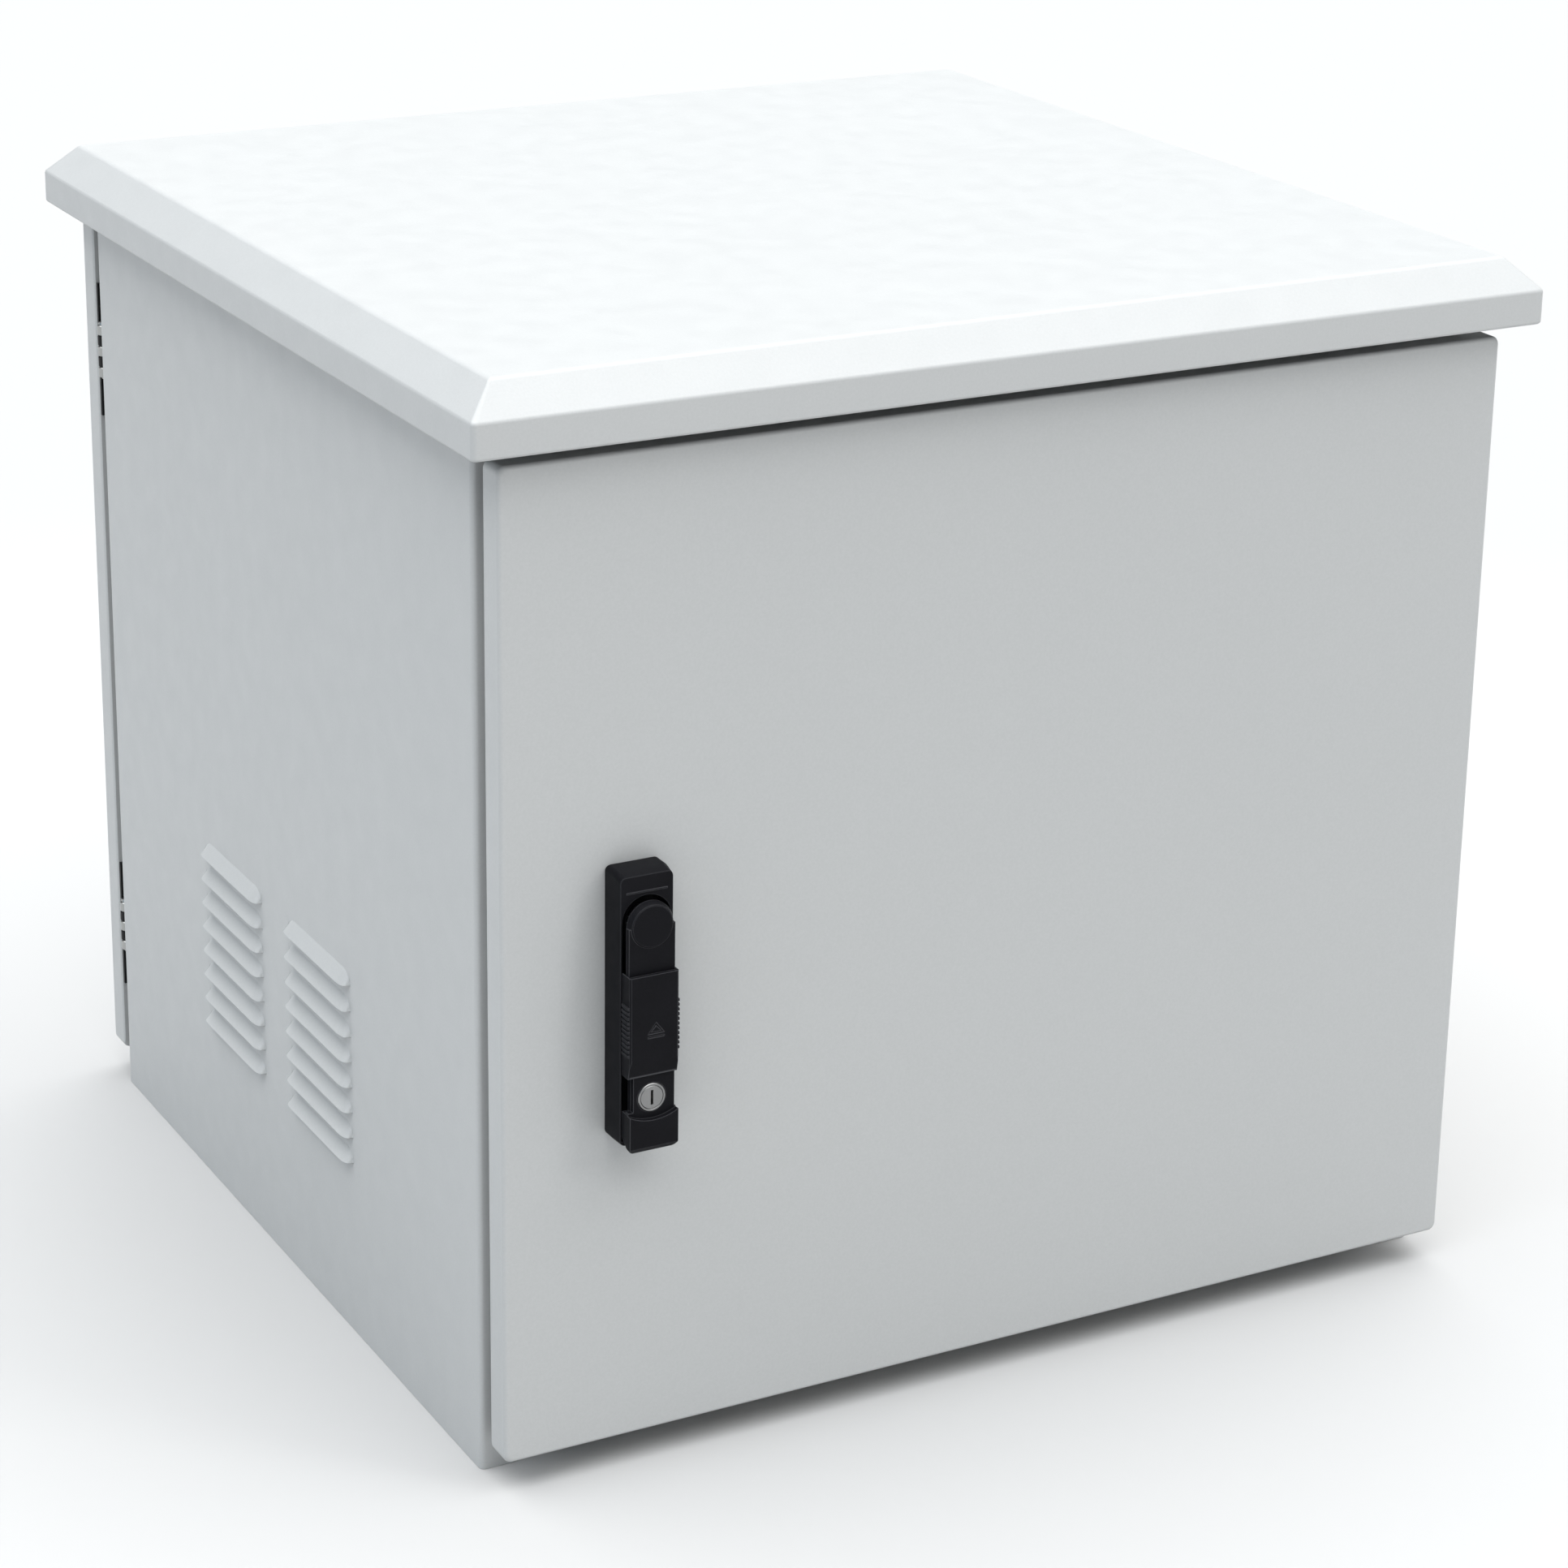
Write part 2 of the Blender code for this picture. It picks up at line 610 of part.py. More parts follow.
def make_handle_base():
    """Handle housing: straight walls, sloping top, and a channel with a round top."""
    centre_z = (HANDLE_BOTTOM + HANDLE_TOP) / 2
    half_z = (HANDLE_TOP - HANDLE_BOTTOM) / 2

    def outline(inset, top_slope, radius):
        points = rounded_rect(HANDLE_HALF - inset, half_z - top_slope / 2, radius, 2)
        return [(u, centre_z - top_slope / 2 + v) for u, v in points]

    base = from_loops("handle_base", [at_height(outline(0.0, 0.0, 0.003), GAP),
                                      at_height(outline(0.0, 0.0, 0.003), 0.010),
                                      at_height(outline(0.0005, 0.0015, 0.003), RIM_HEIGHT)], PLASTIC)
    channel = arch(CHANNEL_HALF, HANDLE_BOTTOM - 0.005, BOSS_Z + 0.0008)
    shallow = [at_height(channel, 0.006), at_height(channel, RIM_HEIGHT + 0.002)]
    cut(base, [shallow])
    stem = turned(along_y, (HANDLE_X, handle_y(0), BOSS_Z), ((0.0054, -0.010), (0.0054, 0.002)), 16)
    screws = [turned(along_y, (HANDLE_X, handle_y(0), z), ((0.0028, -0.0055), (0.0028, 0.002)), 8)
              for z in HANDLE_STUD_Z]
    cut(base, [stem] + screws)
    return base


def make_lever():
    """Swing lever: flat arm with a domed boss, pivot ears and a finger tip."""
    arm_bottom = 0.2060
    arm = box_loops((HANDLE_X - ARM_HALF, handle_y(ARM_FRONT), arm_bottom),
                    (HANDLE_X + ARM_HALF, handle_y(0.0200), BOSS_Z))
    lever = from_loops("handle_lever", arm, PLASTIC)

    core = box_loops((HANDLE_X - 0.0105, handle_y(0.0205), arm_bottom + 0.001),
                     (HANDLE_X + 0.0105, handle_y(RIM_HEIGHT + 0.0004), 0.3030))
    boss = turned(along_y, (HANDLE_X, handle_y(0), BOSS_Z),
                  ((0.0127, -0.0201), (0.0127, -0.0209), (0.0113, -0.0240), (0.0085, -0.0244)), 24)
    side = -(TIP_FRONT - 0.0001)
    tip_profile = ((-(RIM_HEIGHT + 0.0004), 0.2145), (side, 0.2145), (side, 0.1955), (side + 0.0025, 0.1930),
                   (side + 0.0052, 0.1965), (-(RIM_HEIGHT + 0.0004), 0.1995))
    tip = [[(HANDLE_X + u, -DOOR_FACE + out, z) for out, z in tip_profile] for u in (-0.0137, 0.0137)]
    ears = [[along_x(pivot_ear(), HANDLE_X + u, handle_y(LIFT_HEIGHT), BOSS_Z) for u in pair]
            for pair in ((-0.0095, -0.0066), (0.0066, 0.0095))]
    join(lever, [core])
    join(lever, [boss])
    join(lever, [tip])
    join(lever, ears)

    scallop = turned(along_y, (HANDLE_X, handle_y(0), 0.2145 + 0.0240),
                     ((0.0281, -0.0400), (0.0281, -ARM_FRONT)), 32)
    lock_bore = turned(along_y, (HANDLE_X, handle_y(0), LOCK_Z), ((0.0080, -0.0260), (0.0080, -0.0150)), 20)
    lift_axis = (HANDLE_X, handle_y(LIFT_HEIGHT), BOSS_Z)
    pin_bore = turned(along_x, lift_axis, ((0.0017, -0.012), (0.0017, 0.012)), 10)
    cut(lever, [scallop])
    cut(lever, [lock_bore])
    cut(lever, [pin_bore])
    smooth(lever)
    return lever


def pivot_ear():
    """Ear outline about the lift axis: half round towards the door, square above."""
    radius = 0.004
    points = [(-0.0045, radius), (-0.0045, -radius)]
    points += [(radius * math.sin(math.pi * i / 6), -radius * math.cos(math.pi * i / 6)) for i in range(7)]
    return points


def make_lock_cover():
    """Sliding dust cover that wraps the arm: C-section with a sloping lower end."""
    inner = ARM_HALF + 0.0003
    outer = 0.0138
    low = RIM_HEIGHT + 0.0004
    front = 0.0266
    bore = 0.0245
    edge = 0.0008
    outline = ((-outer, low), (-outer, front - edge), (edge - outer, front), (outer - edge, front),
               (outer, front - edge), (outer, low), (inner, low), (inner, bore), (-inner, bore),
               (-inner, low))
    loops = [[(HANDLE_X + u, handle_y(h), z) for u, h in outline] for z in (0.2345, 0.2903)]
    cover = from_loops("lock_cover", loops, PLASTIC)
    wedge = ((0.0243, 0.2300), (0.0300, 0.2300), (0.0300, 0.2607), (0.0243, 0.2336))
    slope = [[(HANDLE_X + u, handle_y(h), z) for h, z in wedge] for u in (-0.020, 0.020)]
    cut(cover, [slope])
    heights = [0.2470 + 0.0026 * i for i in range(11)]
    middles = (HANDLE_X - 0.0140, HANDLE_X + 0.0140)
    join(cover, [box_loops((x - 0.0005, handle_y(0.0255), z), (x + 0.0005, handle_y(0.0185), z + 0.0012))
                 for x in middles for z in heights])
    return cover


def make_handle(door_pivot, door_panel):
    """Everything of the swing handle, hung on its turn, lift, slide and key axes."""
    base = make_handle_base()
    cut(door_panel, [turned(along_y, (HANDLE_X, -DOOR_FACE, BOSS_Z), ((0.0070, -0.004), (0.0070, 0.004)), 16)]
        + [turned(along_y, (HANDLE_X, -DOOR_FACE, z), ((0.0029, -0.004), (0.0029, 0.004)), 8)
           for z in HANDLE_STUD_Z])

    plate_front = -(DOOR_INNER - GAP)
    plate_back = plate_front + 0.002
    plate_outline = rounded_rect(0.012, 0.074, 0.003, 1)
    plate = from_loops("handle_backing_plate", [along_y(plate_outline, HANDLE_X, y, 0.269)
                                                for y in (plate_front, plate_back)], ZINC)
    cut(plate, [turned(along_y, (HANDLE_X, plate_front, BOSS_Z), ((0.0064, -0.004), (0.0064, 0.004)), 12)])
    join(plate, [turned(along_y, (HANDLE_X, plate_back, z), ((0.0024, -0.0005), (0.0024, -0.0082)), 8)
                 for z in HANDLE_STUD_Z])
    hang(door_pivot, base, plate)

    turn_pivot = make_pivot("handle_turn_axis", (HANDLE_X, handle_y(LIFT_HEIGHT), BOSS_Z), door_pivot)
    spindle = make_spindle()
    hang(turn_pivot, *spindle)

    lever = make_lever()
    lever_pivot = make_pivot("handle_lift_axis", (HANDLE_X, handle_y(LIFT_HEIGHT), BOSS_Z), turn_pivot)
    cylinder_steps = [(0.0077, -0.0240), (0.0077, -0.0180), (0.0066, -0.0180), (0.0066, -0.0240)]
    cylinder_loops = turned(along_y, (HANDLE_X, handle_y(0), LOCK_Z), cylinder_steps, 20)
    cylinder = from_loops("lock_cylinder", cylinder_loops, LOCK_METAL, ring=True)
    smooth(cylinder)
    hang(lever_pivot, lever, cylinder)

    cover = make_lock_cover()
    cover_pivot = make_pivot("lock_cover_axis", (HANDLE_X, handle_y(0.0255), 0.262), lever_pivot)
    hang(cover_pivot, cover)

    plug = from_loops("key_plug", turned(along_y, (HANDLE_X, handle_y(0), LOCK_Z),
                                         ((0.0063, -0.0240), (0.0063, -0.0180)), 20), LOCK_METAL)
    cut(plug, [box_loops((HANDLE_X - 0.0007, handle_y(0.026), LOCK_Z - 0.004),
                         (HANDLE_X + 0.0007, handle_y(0.0215), LOCK_Z + 0.004))])
    smooth(plug)
    plug_pivot = make_pivot("key_plug_axis", (HANDLE_X, handle_y(0.024), LOCK_Z), lever_pivot)
    hang(plug_pivot, plug)


def cam_loops(centre_x, centre_z, tip_x):
    """Flat cam: round about its spindle, with a straight nose to tip_x."""
    direction = math.copysign(1, tip_x - centre_x)
    half = 0.0085
    outline = [(tip_x, centre_z - half), (tip_x, centre_z + half)]
    for i in range(9):
        angle = math.pi / 2 - math.pi * i / 8
        outline.append((centre_x - direction * half * math.cos(angle), centre_z + half * math.sin(angle)))
    return [[(x, y, z) for x, z in outline] for y in (CAM_BACK, CAM_BACK - CAM_THICKNESS)]


def make_spindle():
    """Turning spindle with its cross pin head, the latch cam and the bolt that holds it."""
    neck = CAM_BACK - CAM_THICKNESS - GAP
    steps = ((0.0050, handle_y(0.0135)), (0.0050, neck), (0.0034, neck), (0.0034, CAM_BACK - 0.0002))
    spindle = from_loops("handle_spindle", turned(along_y, (HANDLE_X, 0, BOSS_Z), steps, 16), ZINC)
    lift_axis = (HANDLE_X, handle_y(LIFT_HEIGHT), BOSS_Z)
    join(spindle, [turned(along_x, lift_axis, ((0.0036, -0.0062), (0.0036, 0.0062)), 16)])
    cut(spindle, [turned(along_x, lift_axis, ((0.0017, -0.01), (0.0017, 0.01)), 10)])
    cut(spindle, [turned(along_y, (HANDLE_X, CAM_BACK, BOSS_Z), ((0.0022, -0.009), (0.0022, 0.004)), 10)])
    smooth(spindle)

    cam = from_loops("latch_cam", cam_loops(HANDLE_X, BOSS_Z, -CAM_TIP), ZINC)
    cut(cam, [turned(along_y, (HANDLE_X, CAM_BACK, BOSS_Z), ((0.0037, -0.006), (0.0037, 0.006)), 16)])

    bolt_steps = ((0.0018, CAM_BACK - 0.0080), (0.0018, CAM_BACK + GAP), (0.0060, CAM_BACK + GAP),
                  (0.0060, CAM_BACK + 0.0035))
    bolt = from_loops("cam_bolt", turned(along_y, (HANDLE_X, 0, BOSS_Z), bolt_steps, 6), ZINC)
    pin = from_loops("lever_pin", turned(along_x, lift_axis, ((0.0014, -0.0100), (0.0014, 0.0100)), 10), ZINC)
    smooth(pin)
    return spindle, cam, bolt, pin


# ---------------------------------------------------------------- rear door lock
def make_rear_lock(door_pivot, door_panel):
    """Quarter-turn lock: flanged housing, ring nut behind the door, slotted plug and cam."""
    x = REAR_LOCK_X
    place = (x, 0, OPENING_Z)
    cut(door_panel, [turned(along_y, (x, DOOR_FACE, OPENING_Z), ((0.0105, -0.004), (0.0105, 0.004)), 16)])
    housing_steps = ((0.0140, DOOR_FACE + GAP), (0.0140, DOOR_FACE + 0.0020), (0.0115, DOOR_FACE + 0.0040),
                     (0.0072, DOOR_FACE + 0.0040), (0.0072, REAR_LOCK_BACK), (0.0100, REAR_LOCK_BACK),
                     (0.0100, DOOR_FACE + GAP))
    nut_steps = ((0.0160, DOOR_INNER - GAP), (0.0160, DOOR_INNER - 0.0045),
                 (0.0122, DOOR_INNER - 0.0045), (0.0122, DOOR_INNER - GAP))
    housing = from_loops("rear_lock_housing", turned(along_y, place, housing_steps, 20), PLASTIC, ring=True)
    nut = from_loops("rear_lock_nut", turned(along_y, place, nut_steps, 6), ZINC, ring=True)
    smooth(housing)
    hang(door_pivot, housing, nut)

    plug_steps = ((0.0069, DOOR_FACE + 0.0030), (0.0069, REAR_LOCK_BACK + 0.0004),
                  (0.0035, REAR_LOCK_BACK + 0.0004), (0.0035, -CAM_BACK))
    plug = from_loops("rear_lock_plug", turned(along_y, place, plug_steps, 20), LOCK_METAL)
    cut(plug, [box_loops((x - 0.0012, DOOR_FACE, OPENING_Z - 0.0045),
                         (x + 0.0012, DOOR_FACE + 0.006, OPENING_Z + 0.0045))])
    smooth(plug)
    cam = from_loops("rear_lock_cam", cam_loops(-x, OPENING_Z, -CAM_TIP), ZINC)
    turn_to_rear(cam)
    cut(cam, [turned(along_y, (x, -CAM_BACK, OPENING_Z), ((0.0038, -0.006), (0.0038, 0.006)), 16)])
    pivot = make_pivot("rear_lock_axis", (x, DOOR_FACE, OPENING_Z), door_pivot)
    hang(pivot, plug, cam)


# ---------------------------------------------------------------- assembly
def build():
    make_side_panel("left_side_panel")
    mirror_to_right(make_side_panel("right_side_panel"))
    make_base()
    make_top()
    make_roof()
    for word, rear in (("front", False), ("rear", True)):
        make_opening_frame(word + "_opening_frame", rear)
    for side, side_word in ((-1, "left"), (1, "right")):
        make_filter(side, side_word)
        for end, end_word in ((-1, "front"), (1, "rear")):
            make_upright(side_word + "_" + end_word + "_upright", side, end)
    for level, height in SHELF_HEIGHTS.items():
        make_shelf(level, height)

    front_pivot, front_panel = make_door("front", False)
    make_handle(front_pivot, front_panel)
    rear_pivot, rear_panel = make_door("rear", True)
    make_rear_lock(rear_pivot, rear_panel)


build()
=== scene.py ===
import json
import math

import bmesh
import bpy
from mathutils import Matrix, Vector


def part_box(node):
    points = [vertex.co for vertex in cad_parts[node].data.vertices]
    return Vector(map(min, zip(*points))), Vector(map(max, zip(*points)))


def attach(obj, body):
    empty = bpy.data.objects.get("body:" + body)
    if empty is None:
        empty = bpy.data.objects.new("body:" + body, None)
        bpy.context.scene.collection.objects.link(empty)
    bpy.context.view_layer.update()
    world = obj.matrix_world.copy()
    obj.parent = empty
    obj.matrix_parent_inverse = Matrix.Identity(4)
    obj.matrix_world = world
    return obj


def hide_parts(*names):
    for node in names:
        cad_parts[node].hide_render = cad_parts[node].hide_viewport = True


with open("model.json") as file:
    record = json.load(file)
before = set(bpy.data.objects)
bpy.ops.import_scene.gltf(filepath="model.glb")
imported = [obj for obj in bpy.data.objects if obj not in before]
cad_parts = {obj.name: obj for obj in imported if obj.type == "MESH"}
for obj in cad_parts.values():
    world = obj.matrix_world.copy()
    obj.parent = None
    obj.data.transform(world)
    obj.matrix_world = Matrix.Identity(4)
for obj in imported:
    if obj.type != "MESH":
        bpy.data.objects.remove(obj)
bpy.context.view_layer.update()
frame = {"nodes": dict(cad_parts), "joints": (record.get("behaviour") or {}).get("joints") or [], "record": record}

# ---------------------------------------------------------------- sizes, in metres
SHEET = 0.0015               # steel sheet
GAP = 0.0003                 # clearance between neighbouring pieces
FOLD = 0.003                 # outer radius of the body's folds
FOLD_STEPS = 6               # facets in the quarter turn of a fold
SIDE_RETURN = 0.019          # side sheet turned in at the doors
LOUVRE_COUNT = 8
LOUVRE_PITCH = 0.0152
LOUVRE_TOP = 0.2193
LOUVRE_HEIGHT = 0.0080
LOUVRE_LENGTH = 0.089
LOUVRE_END = 0.009           # length over which a hood runs out
LOUVRE_MARGIN = 0.0006       # flat sheet kept just beyond a hood
LOUVRE_BORDER = 0.006        # next row of flat sheet
LOUVRE_COLUMNS = (-0.0585, 0.0725)
DOOR_HEM = 0.012
DOOR_CORNER = 0.0045
DOOR_FOLD = 0.0023
ROOF_RIM = 0.019
ROOF_BEVEL = 0.017
ROOF_LIP = 0.008
ROOF_FLAT = 0.012            # flat ring kept inside the bevel
KNUCKLE_RADIUS = 0.0042
KNUCKLE_HEIGHT = 0.0061
KNUCKLE_PITCH = 0.0065
KNUCKLE_ROUND = 0.0004
KNUCKLE_SHORT = 0.0002       # a plate's tongue is this much shorter than its knuckle at each end
LEAF_HALF = 0.041            # half the length of a hinge
LEAF_THICKNESS = 0.002
LEAF_TAIL = 2.6 * KNUCKLE_PITCH   # the door leaf reaches the door's edge beyond this
HINGE_SCREWS = (-0.029, -0.0205, 0.0205, 0.029)
HIGHLIGHT_EDGE_WIDTH = 0.0008          # painted highlight along the rounded edges of black plastic
HIGHLIGHT_EDGE_SAMPLES = 6
HIGHLIGHT_EDGE_TURN = (0.985, 0.90)    # cosine between face and rounded edge where the painted highlight starts and is full

# Swing handle: heights are above the door's face, levels above the floor.
HOUSING_CORNER = 0.0030
RIM_HEIGHT = 0.0173          # housing's rim
LEVER_UNDER = RIM_HEIGHT + 0.0004
ARM_HALF = 0.0129
ARM_BACK = 0.0200
ARM_FRONT = 0.0234
ARM_END = 0.2060             # level of the arm's lower end
TIP_HALF = 0.0137
TIP_FRONT = 0.0267
TIP_TOP = 0.2145             # level of the finger tip's upper edge
COVER_HALF = 0.0138
COVER_BORE = 0.0245

JOINTS = {joint["name"]: joint for joint in frame["joints"]}
SLOTS = {part["node"]: part["material_slot"] for part in frame["record"]["subparts"]}

_, pan_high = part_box("base_pan")
BODY_X = pan_high.x + SHEET + GAP
BODY_Y = pan_high.y + SHEET + GAP
BODY_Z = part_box("body_top")[1].z
roof_low, roof_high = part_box("roof_canopy")
door_low, door_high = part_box("front_door_panel")
DOOR_FACE = -door_low.y
HANDLE_X, _, BOSS_Z = JOINTS["handle_turn"]["pos_m"]
LIFT_HEIGHT = -DOOR_FACE - JOINTS["handle_turn"]["pos_m"][1]
LOCK_Z = JOINTS["key_turn"]["pos_m"][2]
base_low, base_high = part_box("handle_base")
HALF_TURN = Matrix.Rotation(math.pi, 4, "Z")

# ---------------------------------------------------------------- light and camera
FLOOR_HALF = 60.0
FLOOR_BOTTOM, FLOOR_TOP = -0.02, -0.0002
FLOOR_SHADOW_LIFT_FADE = (0.45, 1.50)    # distances over which the floor's painted shadow lift fades out
FLOOR_SHADOW_LIFT_TONES = (0.50, 0.44)   # painted light: paler near the object, to lift its soft shadow
SKY_COLOUR = (0.94, 0.98, 1.0, 1.0)
SKY_FADE = (0.17, 0.30)      # heights on the unit sphere
SKY_STRENGTHS = (0.95, 0.10)
LIGHTS = (                   # name, direction, strength, apparent width in degrees, colour
    ("overhead", (0.03, 0.0, 1.0), 6.4, 96.0, (0.99, 0.998, 1.0)),
    ("key", (0.60, -0.645, 0.478), 0.50, 16.0, (1.0, 0.985, 0.96)),
    ("fill", (-1.0, -0.1, 0.5), 0.25, 40.0, (0.30, 0.65, 1.0)),
)
LIGHT_DISTANCE = 5.0
CAMERA_PLACE = (-1.0706, -2.0073, 1.1020)
CAMERA_RIGHT = (0.88061, -0.47360, 0.01481)
CAMERA_UP = (0.13759, 0.28549, 0.94845)
CAMERA_LENS = 93.52
CAMERA_SENSOR = 36.0
CAMERA_SHIFT = -0.10


# ---------------------------------------------------------------- materials
NOISE_RANGE = (0.3, 0.7)     # where nearly all of a noise texture's values lie
DRIFT_DETAIL, SPECKLE_DETAIL, GRAIN_DETAIL, UNEVEN_DETAIL = 3.0, 2.0, 3.0, 4.0
SPECKLE_SHARE = 0.8          # cells per metre, as a share of the grain's
UNEVEN_SHARE = 0.06
BUMP_STRENGTH = 0.6


def link(tree, source, target):
    tree.links.new(source, target)


def noise_of(tree, coordinates, scale, detail, stretch=None):
    """A noise field of so many cells per metre, drawn out along an axis by stretch."""
    node = tree.nodes.new("ShaderNodeTexNoise")
    node.inputs["Scale"].default_value = scale
    node.inputs["Detail"].default_value = detail
    if stretch is None:
        link(tree, coordinates, node.inputs["Vector"])
    else:
        mapping = tree.nodes.new("ShaderNodeMapping")
        mapping.inputs["Scale"].default_value = stretch
        link(tree, coordinates, mapping.inputs["Vector"])
        link(tree, mapping.outputs["Vector"], node.inputs["Vector"])
    return node.outputs["Fac"]


def remap(tree, value, source, target):
    """The value, taken from one range to another."""
    node = tree.nodes.new("ShaderNodeMapRange")
    node.inputs["From Min"].default_value = source[0]
    node.inputs["From Max"].default_value = source[1]
    node.inputs["To Min"].default_value = target[0]
    node.inputs["To Max"].default_value = target[1]
    link(tree, value, node.inputs["Value"])
    return node.outputs["Result"]


def shade(colour, factor):
    return (*[min(1.0, part * factor) for part in colour], 1.0)


def painted_edge_highlight(tree, colour_out, colour):
    """Painted highlight: lighten the colour where a rounded edge leaves the face."""
    edge = tree.nodes.new("ShaderNodeBevel")
    edge.samples = HIGHLIGHT_EDGE_SAMPLES
    edge.inputs["Radius"].default_value = HIGHLIGHT_EDGE_WIDTH
    face = tree.nodes.new("ShaderNodeNewGeometry")
    turn = tree.nodes.new("ShaderNodeVectorMath")
    turn.operation = "DOT_PRODUCT"
    link(tree, edge.outputs["Normal"], turn.inputs[0])
    link(tree, face.outputs["True Normal"], turn.inputs[1])
    mix = tree.nodes.new("ShaderNodeMix")
    mix.data_type = "RGBA"
    link(tree, remap(tree, turn.outputs["Value"], HIGHLIGHT_EDGE_TURN, (0.0, 1.0)), mix.inputs["Factor"])
    link(tree, colour_out, mix.inputs["A"])
    mix.inputs["B"].default_value = shade(colour, 1.0)
    return mix.outputs["Result"]


def surface(name, colour, vary, rough, grain, depth, metallic=0.0, broad=5.0, speckle=0.0,
            stretch=None, specular=0.5, sheen=0.0, edge_highlight=None):
    """A finish: broad colour drift, fine speckle, uneven roughness, a fine bump and, if given, a painted highlight
    on rounded edges.
    """
    material = bpy.data.materials.new(name)
    material.use_nodes = True
    tree = material.node_tree
    shader = tree.nodes["Principled BSDF"]
    coordinates = tree.nodes.new("ShaderNodeTexCoord").outputs["Object"]
    shader.inputs["Metallic"].default_value = metallic
    shader.inputs["Specular IOR Level"].default_value = specular
    shader.inputs["Sheen Weight"].default_value = sheen

    drift = remap(tree, noise_of(tree, coordinates, broad, DRIFT_DETAIL), NOISE_RANGE, (0.0, 1.0))
    mix = tree.nodes.new("ShaderNodeMix")
    mix.data_type = "RGBA"
    mix.inputs["A"].default_value = shade(colour, 1.0 - vary)
    mix.inputs["B"].default_value = shade(colour, 1.0 + vary)
    link(tree, drift, mix.inputs["Factor"])
    colour_out = mix.outputs["Result"]
    if speckle:
        fine = noise_of(tree, coordinates, grain * SPECKLE_SHARE, SPECKLE_DETAIL)
        scale = tree.nodes.new("ShaderNodeVectorMath")
        scale.operation = "SCALE"
        link(tree, colour_out, scale.inputs[0])
        link(tree, remap(tree, fine, NOISE_RANGE, (1.0 - speckle, 1.0 + speckle)), scale.inputs["Scale"])
        colour_out = scale.outputs["Vector"]
    # painted highlight: a lighter colour on rounded edges, where they would catch the light
    if edge_highlight:
        colour_out = painted_edge_highlight(tree, colour_out, edge_highlight)
    link(tree, colour_out, shader.inputs["Base Color"])

    uneven = noise_of(tree, coordinates, grain * UNEVEN_SHARE, UNEVEN_DETAIL, stretch)
    link(tree, remap(tree, uneven, NOISE_RANGE, rough), shader.inputs["Roughness"])
    bump = tree.nodes.new("ShaderNodeBump")
    bump.inputs["Strength"].default_value = BUMP_STRENGTH
    bump.inputs["Distance"].default_value = depth
    link(tree, noise_of(tree, coordinates, grain, GRAIN_DETAIL, stretch), bump.inputs["Height"])
    link(tree, bump.outputs["Normal"], shader.inputs["Normal"])
    return material


MATERIALS = {
    "light_grey_paint": surface("powder_coat_light_grey", (0.438, 0.447, 0.449), vary=0.005,
                                rough=(0.40, 0.52), grain=950.0, depth=0.00006, speckle=0.02),
    # the black plastic gets a painted highlight colour on its rounded edges
    "black_plastic": surface("moulded_black_plastic", (0.0070, 0.0070, 0.0086), vary=0.12,
                             rough=(0.34, 0.46), grain=1400.0, depth=0.00004, broad=40.0, speckle=0.10,
                             specular=0.05, edge_highlight=(0.055, 0.055, 0.060)),
    "black_rubber": surface("black_rubber", (0.014, 0.014, 0.014), vary=0.15, rough=(0.70, 0.90),
                            grain=1100.0, depth=0.00012, broad=30.0, speckle=0.12),
    "zinc_plate": surface("zinc_plated_steel", (0.38, 0.386, 0.38), vary=0.06, rough=(0.26, 0.46),
                          grain=600.0, depth=0.00003, metallic=1.0, broad=45.0, stretch=(1.0, 1.0, 0.12)),
    "black_steel": surface("black_coated_steel", (0.006, 0.006, 0.007), vary=0.12, rough=(0.38, 0.55),
                           grain=1200.0, depth=0.00005, broad=30.0, speckle=0.10, specular=0.2),
    "lock_metal": surface("satin_lock_metal", (0.25, 0.25, 0.25), vary=0.04, rough=(0.34, 0.46),
                          grain=1500.0, depth=0.00002, metallic=1.0, broad=120.0, stretch=(1.0, 1.0, 0.10)),
    "filter_mat": surface("filter_fleece", (0.66, 0.67, 0.64), vary=0.08, rough=(0.85, 0.98),
                          grain=900.0, depth=0.00050, broad=60.0, speckle=0.15, sheen=0.3),
}
PAINT = "light_grey_paint"
PLASTIC = "black_plastic"
STEEL = "black_steel"
ZINC = "zinc_plate"
LOCK = "lock_metal"


# ---------------------------------------------------------------- mesh helpers
def object_of(name, bm):
    mesh = bpy.data.meshes.new(name)
    bm.to_mesh(mesh)
    bm.free()
    obj = bpy.data.objects.new(name, mesh)
    bpy.context.scene.collection.objects.link(obj)
    return obj


def add_loops(bm, loops, ring=False):
    """Bridge loops of equal length, capping both ends or closing them into a ring."""
    rows = [[bm.verts.new(point) for point in loop] for loop in loops]
    pairs = list(zip(rows, rows[1:]))
    if ring:
        pairs.append((rows[-1], rows[0]))
    else:
        bm.faces.new(rows[0])
        bm.faces.new(rows[-1])
    count = len(rows[0])
    for near, far in pairs:
        for i in range(count):
            j = (i + 1) % count
            bm.faces.new((near[i], near[j], far[j], far[i]))


def solid(name, *stacks, ring=False):
    """Closed shapes, each lofted through its own loops."""
    bm = bmesh.new()
    for loops in stacks:
        add_loops(bm, loops, ring)
    bmesh.ops.recalc_face_normals(bm, faces=bm.faces)
    return object_of(name, bm)


def bake(obj):
    """Replace the mesh with what the modifiers make of it."""
    graph = bpy.context.evaluated_depsgraph_get()
    made = bpy.data.meshes.new_from_object(obj.evaluated_get(graph))
    obj.modifiers.clear()
    obj.data = made


